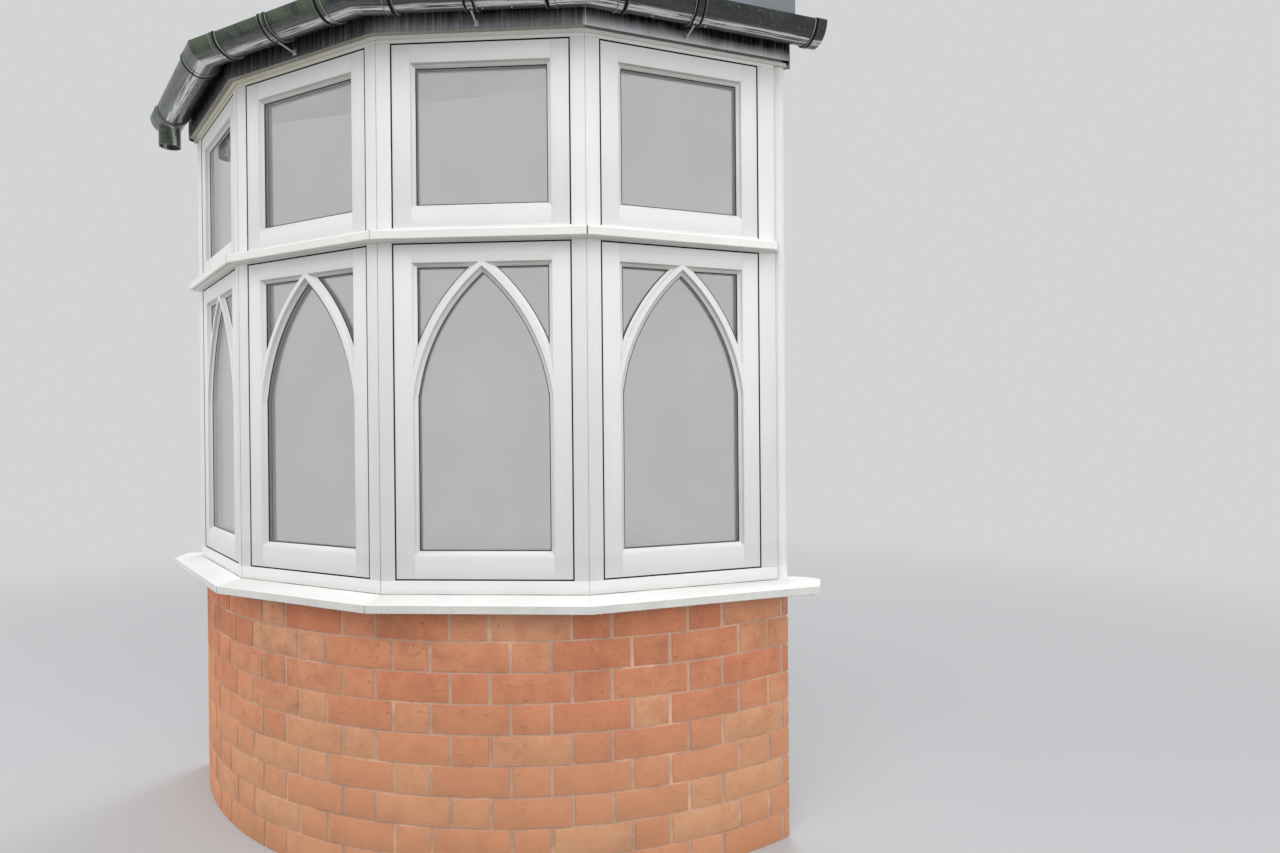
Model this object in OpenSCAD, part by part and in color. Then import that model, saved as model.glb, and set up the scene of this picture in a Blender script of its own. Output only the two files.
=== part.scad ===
// Bow bay window of four timber window frames on a curved brick apron.
// Two front frames and two side frames turn round the bay. Each frame holds a
// lower casement with a pointed gothic bar and a plain top-hung fanlight.
// A faceted sill, a drip moulding at the transom, a boarded fascia with a
// half-round gutter and a low hipped roof follow the same four sides.
// X runs along the house wall, -Y points to the street, +Z is up.
// The house wall is the plane behind everything, and z = 0 is the ground.

/* [Plan] */
// Width of each of the four sides, corner to corner on the outer face
facet_w = 620; // [540:5:700]
// Angle that the bay turns at each of its three corners, in degrees
turn = 23; // [18:1:26]
// Distance from the house wall to the outer corner of a side frame
wall_reach = 60; // [50:5:110]

/* [Brick apron] */
// Height of one brick course with its bed joint
course_h = 90; // [75:1:95]
// Number of courses from the ground to the sill
apron_courses = 9; // [6:1:11]
// Thickness of the curved wall
apron_t = 225; // [215:5:260]
// How far the brick face stands out past the middle corner of the frames
apron_proud = 12; // [6:1:30]
// Where the brick face meets the house wall, past the side frame's corner
apron_wall_out = 28; // [20:1:50]

/* [Sill] */
// How far the sill's nose stands out from the frame
sill_proj = 78; // [70:1:110]
// Height of the sill's front nose
sill_nose_h = 24; // [18:1:34]
// Fall of the sill's top from the frame to the nose
sill_fall = 14; // [8:1:22]
// How far the sill runs along the wall past the side frame's corner
sill_horn = 131; // [110:1:170]

/* [Window frame] */
// Height of the frames
frame_h = 1685; // [1500:5:1850]
// Depth of the frames from outer face to inner face
frame_d = 70; // [66:1:90]
// Width of a jamb at a corner of the bay
jamb_w = 43.5; // [40:0.5:56]
// Width of the jamb at the house wall
end_jamb_w = 57; // [50:0.5:70]
// Height of the frame's bottom rail
bottom_rail_h = 41; // [34:1:56]
// Height of the frame's head, part of it behind the fascia
head_h = 64; // [58:1:84]
// Height of the transom between the two lights
transom_h = 44; // [42:1:60]
// Height of the opening for the lower casement
lower_light_h = 993; // [850:1:1050]
// Width of the stop that the casements close against
stop_w = 12; // [8:1:16]

/* [Casements] */
// Gap all round a casement
sash_gap = 3; // [2:0.5:4]
// Thickness of the casements
sash_t = 48; // [44:1:52]
// How far the casements lie behind the frame's face
sash_set = 2; // [0:0.5:4]
// Face width of stiles, top rails and fanlight rails
stile_w = 55; // [48:1:66]
// Height of the lower casement's bottom rail
sash_bottom_h = 70; // [60:1:90]
// Width of the bevel round the glass
bevel_w = 12.5; // [8:0.5:14]
// Depth of the glass behind the casement's face
glass_set = 15; // [10:0.5:17]
// Thickness of the sealed glass unit
unit_t = 20; // [16:1:22]
// How far the glass unit runs into the casement's groove
unit_lap = 10; // [8:0.5:14]

/* [Gothic bar] */
// Face width of the arched glazing bar
bar_w = 15; // [11:0.5:20]
// Radius of each side of the arch as a share of the glass width
arch_ratio = 1.43; // [1.3:0.01:1.6]
// Lean of each side from upright where it leaves the stile, in degrees
arch_lean = 6.3; // [5:0.1:8]
// Distance from the point of the arch to the top rail
crown_gap = 12; // [8:0.5:14]

/* [Transom drip] */
// How far the drip moulding stands out from the frame
drip_proj = 38; // [30:1:50]
// Height of the moulding's front face
drip_nose_h = 26; // [20:1:28]
// Height of the moulding where it meets the transom
drip_back_h = 37; // [34:1:40]
// How far the moulding runs past the side frame's corner
drip_past = 10; // [0:1:20]

/* [Fascia and gutter] */
// Thickness of the fascia boards
fascia_t = 24; // [18:1:30]
// Height of the fascia boards
fascia_h = 95; // [85:1:140]
// How far the fascia laps down over the frame's head
fascia_lap = 45; // [30:1:50]
// How far the fascia runs past the side frame's corner
fascia_past = 48; // [40:1:60]
// Height of the white trim under the fascia
trim_h = 9; // [6:1:12]
// Outer radius of the half-round gutter
gutter_r = 54; // [45:1:62]
// Wall thickness of the gutter
gutter_wall = 2.5; // [2:0.5:4]
// Gap between the fascia and the gutter's inner rim
gutter_gap = 8; // [7:1:14]
// Height of the fascia's top above the gutter's rim
gutter_drop = 15; // [10:1:24]
// How far the gutter runs past the side frame's corner
gutter_past = 100; // [80:5:110]
// Inner radius of the outlet's socket, for a round downpipe
outlet_r = 34.5; // [32:0.5:38]
// Length of the outlet's socket below the gutter
outlet_len = 60; // [45:5:90]
// Half length of a gutter angle along each of its two sides
angle_len = 85; // [70:5:110]
// Distance from each corner to the end of a straight length of gutter
corner_gap = 5; // [3:1:12]
// Length of the collar at each gutter bracket
collar_len = 34; // [30:2:60]

/* [Roof] */
// Pitch of the roof in degrees
pitch = 20; // [16:1:24]
// Vertical thickness of boards and slates
roof_t = 26; // [22:1:36]
// How far the slates hang over the fascia
eaves_out = 45; // [35:1:50]
// How far the roof runs past the side frame's corner
roof_past = 66; // [62:1:80]
// Thickness of the ceiling board
ceiling_t = 12; // [9:1:20]
// Width of a rafter
rafter_w = 45; // [38:1:60]
// Vertical depth of a rafter
rafter_d = 75; // [60:1:90]
// Radius of the lead roll on each hip
hip_r = 17; // [12:1:24]
// Height of the lead flashing on the wall
flashing_h = 110; // [80:5:150]
// How far the flashing laps down over the slates
flashing_w = 90; // [70:5:150]
// Thickness of the lead
lead_t = 4; // [3:0.5:6]

/* [Inside] */
// Thickness of the window board
board_t = 25; // [20:1:34]
// How far the window board stands past the brickwork inside
board_nose = 30; // [20:1:50]
// Length of a casement handle
handle_len = 120; // [90:5:140]

/* [Hidden] */
$fn = 96;
CLEAR = 3;
FAR = 3000;
EPS = 1;
SIDES = ["left_side", "left_front", "right_front", "right_side"];

// Corners of the right half of the plan, before the move to the origin
FRONT_ANGLE = turn / 2;
SIDE_ANGLE = 1.5 * turn;
MIDDLE = [0, -(wall_reach + facet_w * (sin(FRONT_ANGLE) + sin(SIDE_ANGLE)))];
KNEE = MIDDLE + facet_w * [cos(FRONT_ANGLE), sin(FRONT_ANGLE)];
END = KNEE + facet_w * [cos(SIDE_ANGLE), sin(SIDE_ANGLE)];
END_OUT = [sin(SIDE_ANGLE), -cos(SIDE_ANGLE)];

// Levels above the ground
SEAT_Z = apron_courses * course_h;
SILL_T = sill_fall + sill_nose_h;
FRAME_Z = SEAT_Z + SILL_T;
TRANSOM_Z = FRAME_Z + bottom_rail_h + lower_light_h;
UPPER_Z = TRANSOM_Z + transom_h;
UPPER_LIGHT_H = frame_h - head_h - (UPPER_Z - FRAME_Z);
HEAD_Z = FRAME_Z + frame_h;
FASCIA_Z = HEAD_Z - fascia_lap;
FASCIA_TOP = FASCIA_Z + fascia_h;
RIM_Z = FASCIA_TOP - gutter_drop;
CEILING_TOP = HEAD_Z + ceiling_t;

// Gutter measures, outward from the frame's face
GUTTER_OUT = fascia_t + gutter_gap + gutter_r;
COLLAR_FIT = 0.3;
COLLAR_R = gutter_r + 4;
GUTTER_END = facet_w + gutter_past;
OUTLET_WALL = 3;
OUTLET_LAP = 30;
OUTLET_BODY = OUTLET_LAP + 2 * (outlet_r + OUTLET_WALL) + 16;

// Curve of the brick apron
APRON_X = END[0] + apron_wall_out;
APRON_Y = -MIDDLE[1] + apron_proud;
APRON_R = (APRON_X * APRON_X + APRON_Y * APRON_Y) / (2 * APRON_Y);
APRON_CENTRE = [0, APRON_R - APRON_Y];

// The front reach puts the origin under the middle of the whole bay
REACH = -MIDDLE[1] + (GUTTER_OUT + COLLAR_R) / cos(turn / 2);

// Casement measures, shared by the lights, their glass and their bars
STOP_FACE = sash_set + sash_t;
GLASS_Y = sash_set + glass_set;
HANDLE_W = 22;
HANDLE_T = 14;

function light_w(side) = facet_w - jamb_w - (side ? end_jamb_w : jamb_w);
function sash_x() = jamb_w + sash_gap;
function sash_width(side) = light_w(side) - 2 * sash_gap;
// Height of the roof boards' underside at a distance out from the frame's face
function deck_z(out) = FASCIA_TOP + (fascia_t - out) * tan(pitch);

module at_origin() {
    translate([0, REACH / 2, 0]) children();
}

// Local frame of a right-hand side: x along it, y inwards from its outer face
module on_side(side) {
    base = side ? KNEE : MIDDLE;
    translate([base[0], base[1], 0]) rotate([0, 0, side ? SIDE_ANGLE : FRONT_ANGLE]) children();
}

// Ground plan of the region that belongs to one right-hand side
module region_plan(side) {
    knee_out = [sin(turn), -cos(turn)];
    knee_wall = [KNEE[0] + KNEE[1] * tan(turn), 0];
    if (side)
        polygon([KNEE + FAR * knee_out, [2 * FAR, -FAR], [2 * FAR, 0], knee_wall]);
    else
        polygon([[0, -2 * FAR], KNEE + FAR * knee_out, knee_wall, [0, 0]]);
}

// Keeps what lies within one side's own region, so that neighbours meet in a mitre
module mitred(side, reach = FAR) {
    intersection() {
        translate([0, 0, -EPS]) linear_extrude(FAR + 2 * FAR) region_plan(side);
        translate([-FAR, -2 * FAR, -EPS]) cube([FAR + (side ? reach : FAR), 2 * FAR, 3 * FAR]);
        on_side(side) children();
    }
}

// Puts a right-hand piece at one of the four sides, counted from the left
module placed(k) {
    at_origin() if (k < 2) mirror([1, 0, 0]) children(); else children();
}

function is_side(k) = k == 0 || k == 3;

// Extrudes a profile drawn in (y inwards, z up) along a side from x0 to x1
module along(x0, x1) {
    translate([x0, 0, 0]) rotate([90, 0, 90]) linear_extrude(x1 - x0) children();
}

// Brick apron, a curved wall from the ground to the sill
module brick_apron() {
    color("#C0805F") at_origin() intersection() {
        translate([APRON_CENTRE[0], APRON_CENTRE[1], 0]) difference() {
            cylinder(h = SEAT_Z, r = APRON_R, $fn = 360);
            translate([0, 0, -EPS]) cylinder(h = SEAT_Z + 2 * EPS, r = APRON_R - apron_t, $fn = 360);
        }
        translate([-FAR, -FAR, -EPS]) cube([2 * FAR, FAR, SEAT_Z + 2 * EPS]);
    }
}

// Sloping sill with a thin nose and a drip groove under it
module sill(k) {
    groove_w = 7;
    groove_d = 5;
    groove_in = 14;
    side = is_side(k);
    color("#EDEDEA") placed(k) mitred(side, END[0] + sill_horn)
        translate([0, 0, FRAME_Z]) along(-FAR / 2, 2 * FAR) difference() {
            polygon([
                [frame_d, -SILL_T], [frame_d, 0], [0, 0],
                [-sill_proj + 3, -sill_fall + 0.5], [-sill_proj, -sill_fall - 2],
                [-sill_proj, -SILL_T + 2], [-sill_proj + 2, -SILL_T]
            ]);
            translate([-sill_proj + groove_in, -SILL_T - EPS]) square([groove_w, groove_d + EPS]);
        }
}

// Frame of one side: two jambs, bottom rail, transom and head, rebated inside
module frame(k) {
    side = is_side(k);
    color("#E6E6E3") placed(k) mitred(side) difference() {
        translate([0, 0, FRAME_Z]) cube([facet_w, frame_d, frame_h]);
        light_hole(side, FRAME_Z + bottom_rail_h, lower_light_h);
        light_hole(side, UPPER_Z, UPPER_LIGHT_H);
    }
}

// Opening for one light: full size where the casement sits, smaller at the stop
module light_hole(side, z, h) {
    translate([jamb_w, -EPS, z]) cube([light_w(side), STOP_FACE + EPS, h]);
    translate([jamb_w + stop_w, -EPS, z + stop_w])
        cube([light_w(side) - 2 * stop_w, frame_d + 2 * EPS, h - 2 * stop_w]);
}

// Sharp-edged rectangular cut that widens by the bevel towards the face
module bevelled_hole(x, z, w, h) {
    y0 = sash_set - EPS;
    flare = bevel_w / glass_set;
    intersection() {
        translate([0, 0, z - FAR / 2]) linear_extrude(FAR)
            polygon([
                [x - flare * EPS, y0], [x + w + flare * EPS, y0],
                [x + w - bevel_w, GLASS_Y], [x + bevel_w, GLASS_Y]
            ]);
        along(-FAR / 2, FAR) polygon([
            [y0, z - flare * EPS], [y0, z + h + flare * EPS],
            [GLASS_Y, z + h - bevel_w], [GLASS_Y, z + bevel_w]
        ]);
    }
}

// Cone whose axis runs into the casement, for the bevels beside the arched bar
module bevel_cone(x, z, r_face, r_glass) {
    slope = (r_face - r_glass) / glass_set;
    translate([x, sash_set - EPS, z]) rotate([-90, 0, 0])
        cylinder(h = glass_set + EPS, r1 = r_face + slope * EPS, r2 = r_glass, $fn = 240);
}

// Glass opening of a lower casement at its face, and its arch
function pane_x() = sash_x() + stile_w;
function pane_w(side) = sash_width(side) - 2 * stile_w;
function casement_z() = FRAME_Z + bottom_rail_h + sash_gap;
function casement_h() = lower_light_h - 2 * sash_gap;
function pane_z() = casement_z() + sash_bottom_h;
function pane_h() = casement_h() - sash_bottom_h - stile_w;
function pane_top() = pane_z() + pane_h();
function arch_r(side) = arch_ratio * pane_w(side);
// The arcs' centres: how far each lies from its own stile, and their level
function arch_reach(side) = arch_r(side) * cos(arch_lean);
function arch_rise(side) =
    sqrt(pow(arch_r(side), 2) - pow(arch_reach(side) - pane_w(side) / 2, 2));
function arch_z(side) = pane_top() - crown_gap - arch_rise(side);

// Main light under the arch: a bevelled hole with two arcs that meet in a point
module gothic_hole(side) {
    r = arch_r(side);
    intersection() {
        bevelled_hole(pane_x(), pane_z(), pane_w(side), pane_h() + bevel_w);
        union() {
            intersection() {
                bevel_cone(pane_x() + arch_reach(side), arch_z(side), r, r - bevel_w);
                bevel_cone(pane_x() + pane_w(side) - arch_reach(side), arch_z(side), r, r - bevel_w);
                translate([0, -FAR / 2, arch_z(side)]) cube([FAR, FAR, FAR]);
            }
            translate([0, -FAR / 2, arch_z(side) - FAR + EPS / 100]) cube([FAR, FAR, FAR]);
        }
    }
}

// Two small lights in the upper corners, outside the arch
module spandrel_holes(side) {
    r = arch_r(side) + bar_w;
    difference() {
        intersection() {
            bevelled_hole(pane_x(), pane_z(), pane_w(side), pane_h());
            translate([0, -FAR / 2, arch_z(side)]) cube([FAR, FAR, FAR]);
        }
        intersection() {
            bevel_cone(pane_x() + arch_reach(side), arch_z(side), r, r + bevel_w);
            bevel_cone(pane_x() + pane_w(side) - arch_reach(side), arch_z(side), r, r + bevel_w);
        }
    }
}

// The two arcs' circles at one radius, where both cover
module arch_plan(side, r) {
    intersection() {
        translate([pane_x() + arch_reach(side), arch_z(side)]) circle(r, $fn = 240);
        translate([pane_x() + pane_w(side) - arch_reach(side), arch_z(side)]) circle(r, $fn = 240);
    }
}

// The same openings behind the glass, square-edged
module gothic_hole_back(side, y0, y1) {
    inner_x = pane_x() + bevel_w;
    inner_w = pane_w(side) - 2 * bevel_w;
    translate([0, y1, 0]) rotate([90, 0, 0]) linear_extrude(y1 - y0) {
        translate([inner_x, pane_z() + bevel_w]) square([inner_w, arch_z(side) - pane_z() - bevel_w]);
        intersection() {
            arch_plan(side, arch_r(side) - bevel_w);
            translate([inner_x, arch_z(side) - EPS / 100]) square([inner_w, FAR]);
        }
        difference() {
            translate([inner_x, arch_z(side)]) square([inner_w, pane_top() - bevel_w - arch_z(side)]);
            arch_plan(side, arch_r(side) + bar_w + bevel_w);
        }
    }
}

// Groove that holds a glass unit
module unit_groove(x, z, w, h) {
    lap = unit_lap - bevel_w;
    translate([x - lap, GLASS_Y, z - lap]) cube([w + 2 * lap, unit_t, h + 2 * lap]);
}

// Lower casement with its pointed arch of glazing bar
module casement(k) {
    side = is_side(k);
    back_y = GLASS_Y + unit_t;
    color("#E8E8E6") placed(k) on_side(side) difference() {
        translate([sash_x(), sash_set, casement_z()]) cube([sash_width(side), sash_t, casement_h()]);
        gothic_hole(side);
        spandrel_holes(side);
        unit_groove(pane_x(), pane_z(), pane_w(side), pane_h());
        gothic_hole_back(side, back_y, sash_set + sash_t + EPS);
    }
}

// Glass unit in a casement, a clear edge short of its groove
module glass_unit(k, z, h) {
    side = is_side(k);
    grow = unit_lap - bevel_w - CLEAR / 2;
    color("#9FB0B4", 0.5) placed(k) on_side(side)
        translate([pane_x() - grow, GLASS_Y, z - grow])
            cube([pane_w(side) + 2 * grow, unit_t, h + 2 * grow]);
}

function fanlight_z() = UPPER_Z + sash_gap;
function fanlight_h() = UPPER_LIGHT_H - 2 * sash_gap;
function fan_pane_z() = fanlight_z() + stile_w;
function fan_pane_h() = fanlight_h() - 2 * stile_w;

// Plain top-hung fanlight
module fanlight(k) {
    side = is_side(k);
    back_y = GLASS_Y + unit_t;
    color("#E8E8E6") placed(k) on_side(side) difference() {
        translate([sash_x(), sash_set, fanlight_z()]) cube([sash_width(side), sash_t, fanlight_h()]);
        bevelled_hole(pane_x(), fan_pane_z(), pane_w(side), fan_pane_h());
        unit_groove(pane_x(), fan_pane_z(), pane_w(side), fan_pane_h());
        translate([pane_x() + bevel_w, back_y - EPS, fan_pane_z() + bevel_w])
            cube([pane_w(side) - 2 * bevel_w, sash_t, fan_pane_h() - 2 * bevel_w]);
    }
}

// Drip moulding that stands out along the transom
module drip(k) {
    side = is_side(k);
    foot = (transom_h - drip_back_h) / 2;
    color("#EFEFEC") placed(k) mitred(side, END[0] + drip_past)
        translate([0, 0, TRANSOM_Z + foot]) along(-FAR / 2, 2 * FAR)
            polygon([
                [0, 0], [0, drip_back_h], [-drip_proj + 3, drip_nose_h + 1],
                [-drip_proj, drip_nose_h - 2], [-drip_proj, 2], [-drip_proj + 2, 0]
            ]);
}

// Rounded bead that closes the gap between a side frame and the house wall
module cover_bead(k) {
    r = 24;
    inner = END - frame_d * END_OUT;
    along_end = (inner - END) / frame_d;
    end_face = [cos(SIDE_ANGLE), sin(SIDE_ANGLE)];
    cx = END[0] + (r - (wall_reach - r) * end_face[1]) / end_face[0];
    centre = [cx, -r];
    foot = centre - r * end_face;
    wall_foot = [cx, 0];
    back = END + along_end * (wall_reach / -along_end[1]) * -1;
    color("#E9E9E6") placed(k) translate([0, 0, FRAME_Z]) linear_extrude(FASCIA_Z - FRAME_Z)
        union() {
            translate(centre) circle(r, $fn = 64);
            polygon([centre, wall_foot, back, foot]);
        }
}

// White trim strip in the corner between the frame's head and the fascia
module head_trim() {
    color("#E2E2DC") for (k = [0:3]) placed(k) mitred(is_side(k), END[0] + fascia_past - 10)
        translate([0, 0, FASCIA_Z - trim_h]) along(-FAR / 2, 2 * FAR)
            polygon([[0, 0], [0, trim_h], [-trim_h, trim_h], [-trim_h, trim_h - 3], [-3, 0]]);
}

// Boarded fascia round the four sides, with a short return to the wall at each end
module fascia() {
    end_x = END[0] + fascia_past;
    color("#17181A") for (k = [0:3]) placed(k) {
        mitred(is_side(k), end_x) translate([0, 0, FASCIA_Z]) along(-FAR / 2, 2 * FAR)
            translate([-fascia_t, 0]) square([fascia_t, fascia_h]);
        if (is_side(k)) intersection() {
            mitred(true, end_x) translate([-FAR, -fascia_t, FASCIA_Z]) cube([3 * FAR, FAR, fascia_h]);
            translate([end_x - fascia_t, -FAR, 0]) cube([fascia_t, FAR, 2 * FAR]);
        }
    }
}

// Lower half of a ring, drawn at the gutter's place in (y inwards, z up)
module half_ring(r_out, r_in) {
    translate([-GUTTER_OUT, RIM_Z]) difference() {
        circle(r_out);
        circle(r_in);
        translate([-2 * r_out, 0]) square([4 * r_out, 2 * r_out]);
    }
}

// Four straight lengths of half-round gutter, the left one ending in the outlet
module gutter() {
    color("#2A2D2C") for (k = [0:3]) placed(k) on_side(is_side(k))
        along(corner_gap, gutter_length_end(k)) half_ring(gutter_r, gutter_r - gutter_wall);
}

function gutter_length_end(k) =
    k == 0 ? GUTTER_END - OUTLET_BODY + OUTLET_LAP : k == 3 ? GUTTER_END : facet_w - corner_gap;

// Upright cylinder on the outlet's axis, from a level upwards
module outlet_core(r, z, h) {
    translate([GUTTER_END - OUTLET_BODY / 2 + OUTLET_LAP / 2, -GUTTER_OUT, z]) cylinder(h = h, r = r);
}

// Gutter angles: wider half-round fittings, mitred, that join the lengths
module gutter_angles() {
    color("#232625") at_origin() {
        translate(MIDDLE) gutter_angle();
        for (m = [0, 1]) mirror([m, 0, 0]) translate(KNEE) rotate([0, 0, turn]) gutter_angle();
    }
}

// One angle, made of two halves that mirror each other at the corner
module gutter_angle() {
    for (m = [0, 1]) mirror([m, 0, 0]) intersection() {
        rotate([0, 0, turn / 2]) along(-FAR / 2, angle_len) half_ring(COLLAR_R, gutter_r + COLLAR_FIT);
        translate([0, -FAR, 0]) cube([FAR, 2 * FAR, 2 * FAR]);
    }
}

// Brackets: a collar under the gutter, a lug to the fascia and a strap below.
// The left side has none: its length hangs in the angle and the outlet.
module gutter_brackets() {
    strap_w = 14;
    lug_h = 16;
    seat = fascia_t + gutter_gap - COLLAR_FIT - 1;
    mid = facet_w / 2;
    color("#1F2221") for (k = [1:3]) placed(k) on_side(is_side(k)) {
        along(mid - collar_len / 2, mid + collar_len / 2)
            half_ring(COLLAR_R, gutter_r + COLLAR_FIT);
        along(mid - strap_w, mid + strap_w)
            translate([-seat, RIM_Z - lug_h]) square([seat - fascia_t, lug_h]);
        along(mid - strap_w / 2, mid + strap_w / 2) polygon([
            [-fascia_t, FASCIA_Z + 8], [-fascia_t, FASCIA_Z + 20],
            [-GUTTER_OUT + 6, RIM_Z - gutter_r - 1], [-GUTTER_OUT + 2, RIM_Z - gutter_r - 6]
        ]);
    }
}

// Outlet at the left end of the gutter: trough with a stop end and a socket below
module gutter_outlet() {
    foot = RIM_Z - COLLAR_R - outlet_len;
    color("#232625") placed(0) on_side(true) difference() {
        union() {
            along(GUTTER_END - OUTLET_BODY, GUTTER_END)
                half_ring(COLLAR_R, gutter_r + COLLAR_FIT);
            along(GUTTER_END, GUTTER_END + 4) half_ring(COLLAR_R, 0);
            difference() {
                outlet_core(outlet_r + OUTLET_WALL, foot, outlet_len + COLLAR_R / 2);
                translate([0, -GUTTER_OUT, RIM_Z]) rotate([0, 90, 0])
                    cylinder(h = FAR, r = gutter_r + COLLAR_FIT);
            }
        }
        outlet_core(outlet_r - OUTLET_WALL, foot - EPS, COLLAR_R + outlet_len);
        outlet_core(outlet_r, foot - EPS, outlet_len - 5 + EPS);
    }
}

// Stop end at the right end of the gutter
module gutter_stop_end() {
    color("#232625") placed(3) on_side(true) {
        along(GUTTER_END - 26, GUTTER_END) half_ring(COLLAR_R, gutter_r + COLLAR_FIT);
        along(GUTTER_END, GUTTER_END + 4) half_ring(COLLAR_R, 0);
    }
}

// Flat ceiling board on the frames' heads
module ceiling() {
    color("#E4E2DC") at_origin() translate([0, 0, HEAD_Z]) linear_extrude(ceiling_t) bay_plan(0);
}

// Ground plan of the bay, a given depth inside the frames' outer faces
module bay_plan(inset) {
    mitre = inset / cos(turn / 2);
    knee = KNEE + mitre * [-sin(turn), cos(turn)];
    end = END - inset * END_OUT;
    polygon([
        [end[0], 0], end, knee, MIDDLE + [0, mitre],
        [-knee[0], knee[1]], [-end[0], end[1]], [-end[0], 0]
    ]);
}

// Slab under or over the roof boards of one side, cut at its hips and the wall
module roof_slab(side, low, high, out, past) {
    mitred(side, END[0] + past) along(-FAR / 2, 2 * FAR) polygon([
        [-out, deck_z(out) + low], [-out, deck_z(out) + high],
        [FAR, deck_z(-FAR) + high], [FAR, deck_z(-FAR) + low]
    ]);
}

// Rafters on the heads, three to a side, with a ledger on the house wall
module rafters() {
    ledger_t = 40;
    color("#C9A878") at_origin() for (m = [0, 1]) mirror([m, 0, 0])
        for (side = [false, true]) intersection() {
            union() {
                intersection() {
                    roof_slab(side, -rafter_d, 0, 0, fascia_past);
                    on_side(side) for (x = [0.2, 0.5, 0.8])
                        translate([x * facet_w - rafter_w / 2, -FAR / 2, 0]) cube([rafter_w, FAR, FAR]);
                }
                intersection() {
                    roof_slab(side, -rafter_d - 15, 0, 0, 0);
                    translate([-FAR, -ledger_t, 0]) cube([2 * FAR, ledger_t, FAR]);
                }
            }
            translate([-FAR, -FAR, CEILING_TOP]) cube([2 * FAR, 2 * FAR, FAR]);
        }
}

// Hipped roof of boards and slates over the four sides
module roof() {
    color("#4B5056") for (k = [0:3])
        placed(k) roof_slab(is_side(k), 0, roof_t, fascia_t + eaves_out, roof_past);
}

// Lead rolls along the three hips, cut to the slates under them
module hip_rolls() {
    color("#7D8286") difference() {
        at_origin() rolls(hip_r);
        for (k = [0:3]) placed(k)
            roof_slab(is_side(k), -FAR / 10, roof_t, FAR, FAR);
    }
}

// All three rolls, up to the house wall
module rolls(r) {
    intersection() {
        union() {
            hip_roll(MIDDLE, 0, r);
            hip_roll(KNEE, turn, r);
            mirror([1, 0, 0]) hip_roll(KNEE, turn, r);
        }
        translate([-FAR, -FAR, 0]) cube([2 * FAR, FAR - lead_t - COLLAR_FIT, 2 * FAR]);
    }
}

// One roll from the eaves to the wall, along the line where two slopes meet
module hip_roll(corner, angle, r) {
    out = (fascia_t + eaves_out) / cos(turn / 2);
    rise = tan(pitch) * cos(turn / 2);
    translate([corner[0] + out * sin(angle), corner[1] - out * cos(angle),
               deck_z(fascia_t + eaves_out) + roof_t])
        rotate([0, 0, angle]) rotate([-90 + atan(rise), 0, 0])
            cylinder(h = 2 * FAR, r = r, $fn = 48);
}

// Lead flashing up the house wall, dressed down on the slates and over the rolls
module wall_flashing() {
    eaves = fascia_t + eaves_out;
    color("#80858A") difference() {
        union() {
            for (k = [0:3]) placed(k) intersection() {
                roof_slab(is_side(k), roof_t, roof_t + flashing_h, eaves, roof_past);
                translate([-FAR, -lead_t, 0]) cube([3 * FAR, lead_t, 2 * FAR]);
            }
            for (k = [0:3]) placed(k) intersection() {
                roof_slab(is_side(k), roof_t, roof_t + lead_t, eaves, roof_past);
                translate([-FAR, -flashing_w, 0]) cube([3 * FAR, flashing_w, 2 * FAR]);
            }
            difference() {
                at_origin() intersection() {
                    rolls(hip_r + lead_t);
                    translate([-FAR, -flashing_w, 0]) cube([2 * FAR, flashing_w, 2 * FAR]);
                }
                for (k = [0:3]) placed(k)
                    roof_slab(is_side(k), -FAR / 10, roof_t, FAR, FAR);
            }
        }
        at_origin() rolls(hip_r + COLLAR_FIT);
    }
}

// Window board over the brickwork inside, with a curved front edge
module window_board() {
    color("#E9E7E1") at_origin() translate([0, 0, SEAT_Z]) linear_extrude(board_t)
        difference() {
            bay_plan(frame_d);
            translate(APRON_CENTRE) circle(APRON_R - apron_t - board_nose, $fn = 360);
        }
}

// Lever handles inside, one on each lower casement
module casement_handles() {
    color("#D9D9D6") for (k = [0:3]) placed(k) on_side(is_side(k))
        translate([sash_x() + stile_w / 2, sash_set + sash_t, casement_z() + casement_h() * 0.42]) {
            translate([-HANDLE_W / 2, 0, 0]) cube([HANDLE_W, 4, handle_len]);
            translate([0, 4 - EPS, handle_len * 0.75]) rotate([-90, 0, 0])
                cylinder(h = HANDLE_T, r = HANDLE_W / 3);
            translate([-HANDLE_W / 3, HANDLE_T - 2, -handle_len * 0.15])
                cube([2 * HANDLE_W / 3, 7, handle_len * 0.95]);
        }
}

brick_apron();
for (k = [0:3]) {
    sill(k);
    frame(k);
    casement(k);
    fanlight(k);
    glass_unit(k, pane_z(), pane_h());
    glass_unit(k, fan_pane_z(), fan_pane_h());
    drip(k);
}
cover_bead(0);  // cover_bead_left
cover_bead(3);  // cover_bead_right
head_trim();
fascia();
gutter();
gutter_angles();
gutter_brackets();
gutter_outlet();
gutter_stop_end();
ceiling();
rafters();
roof();
hip_rolls();
wall_flashing();
window_board();
casement_handles();
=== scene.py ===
"""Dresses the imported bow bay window: joinery, glass, brick apron, fascia, gutter and slated roof.

Everything is in metres. X runs along the wall plane, -Y points outwards and +Z is up.
"""

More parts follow.
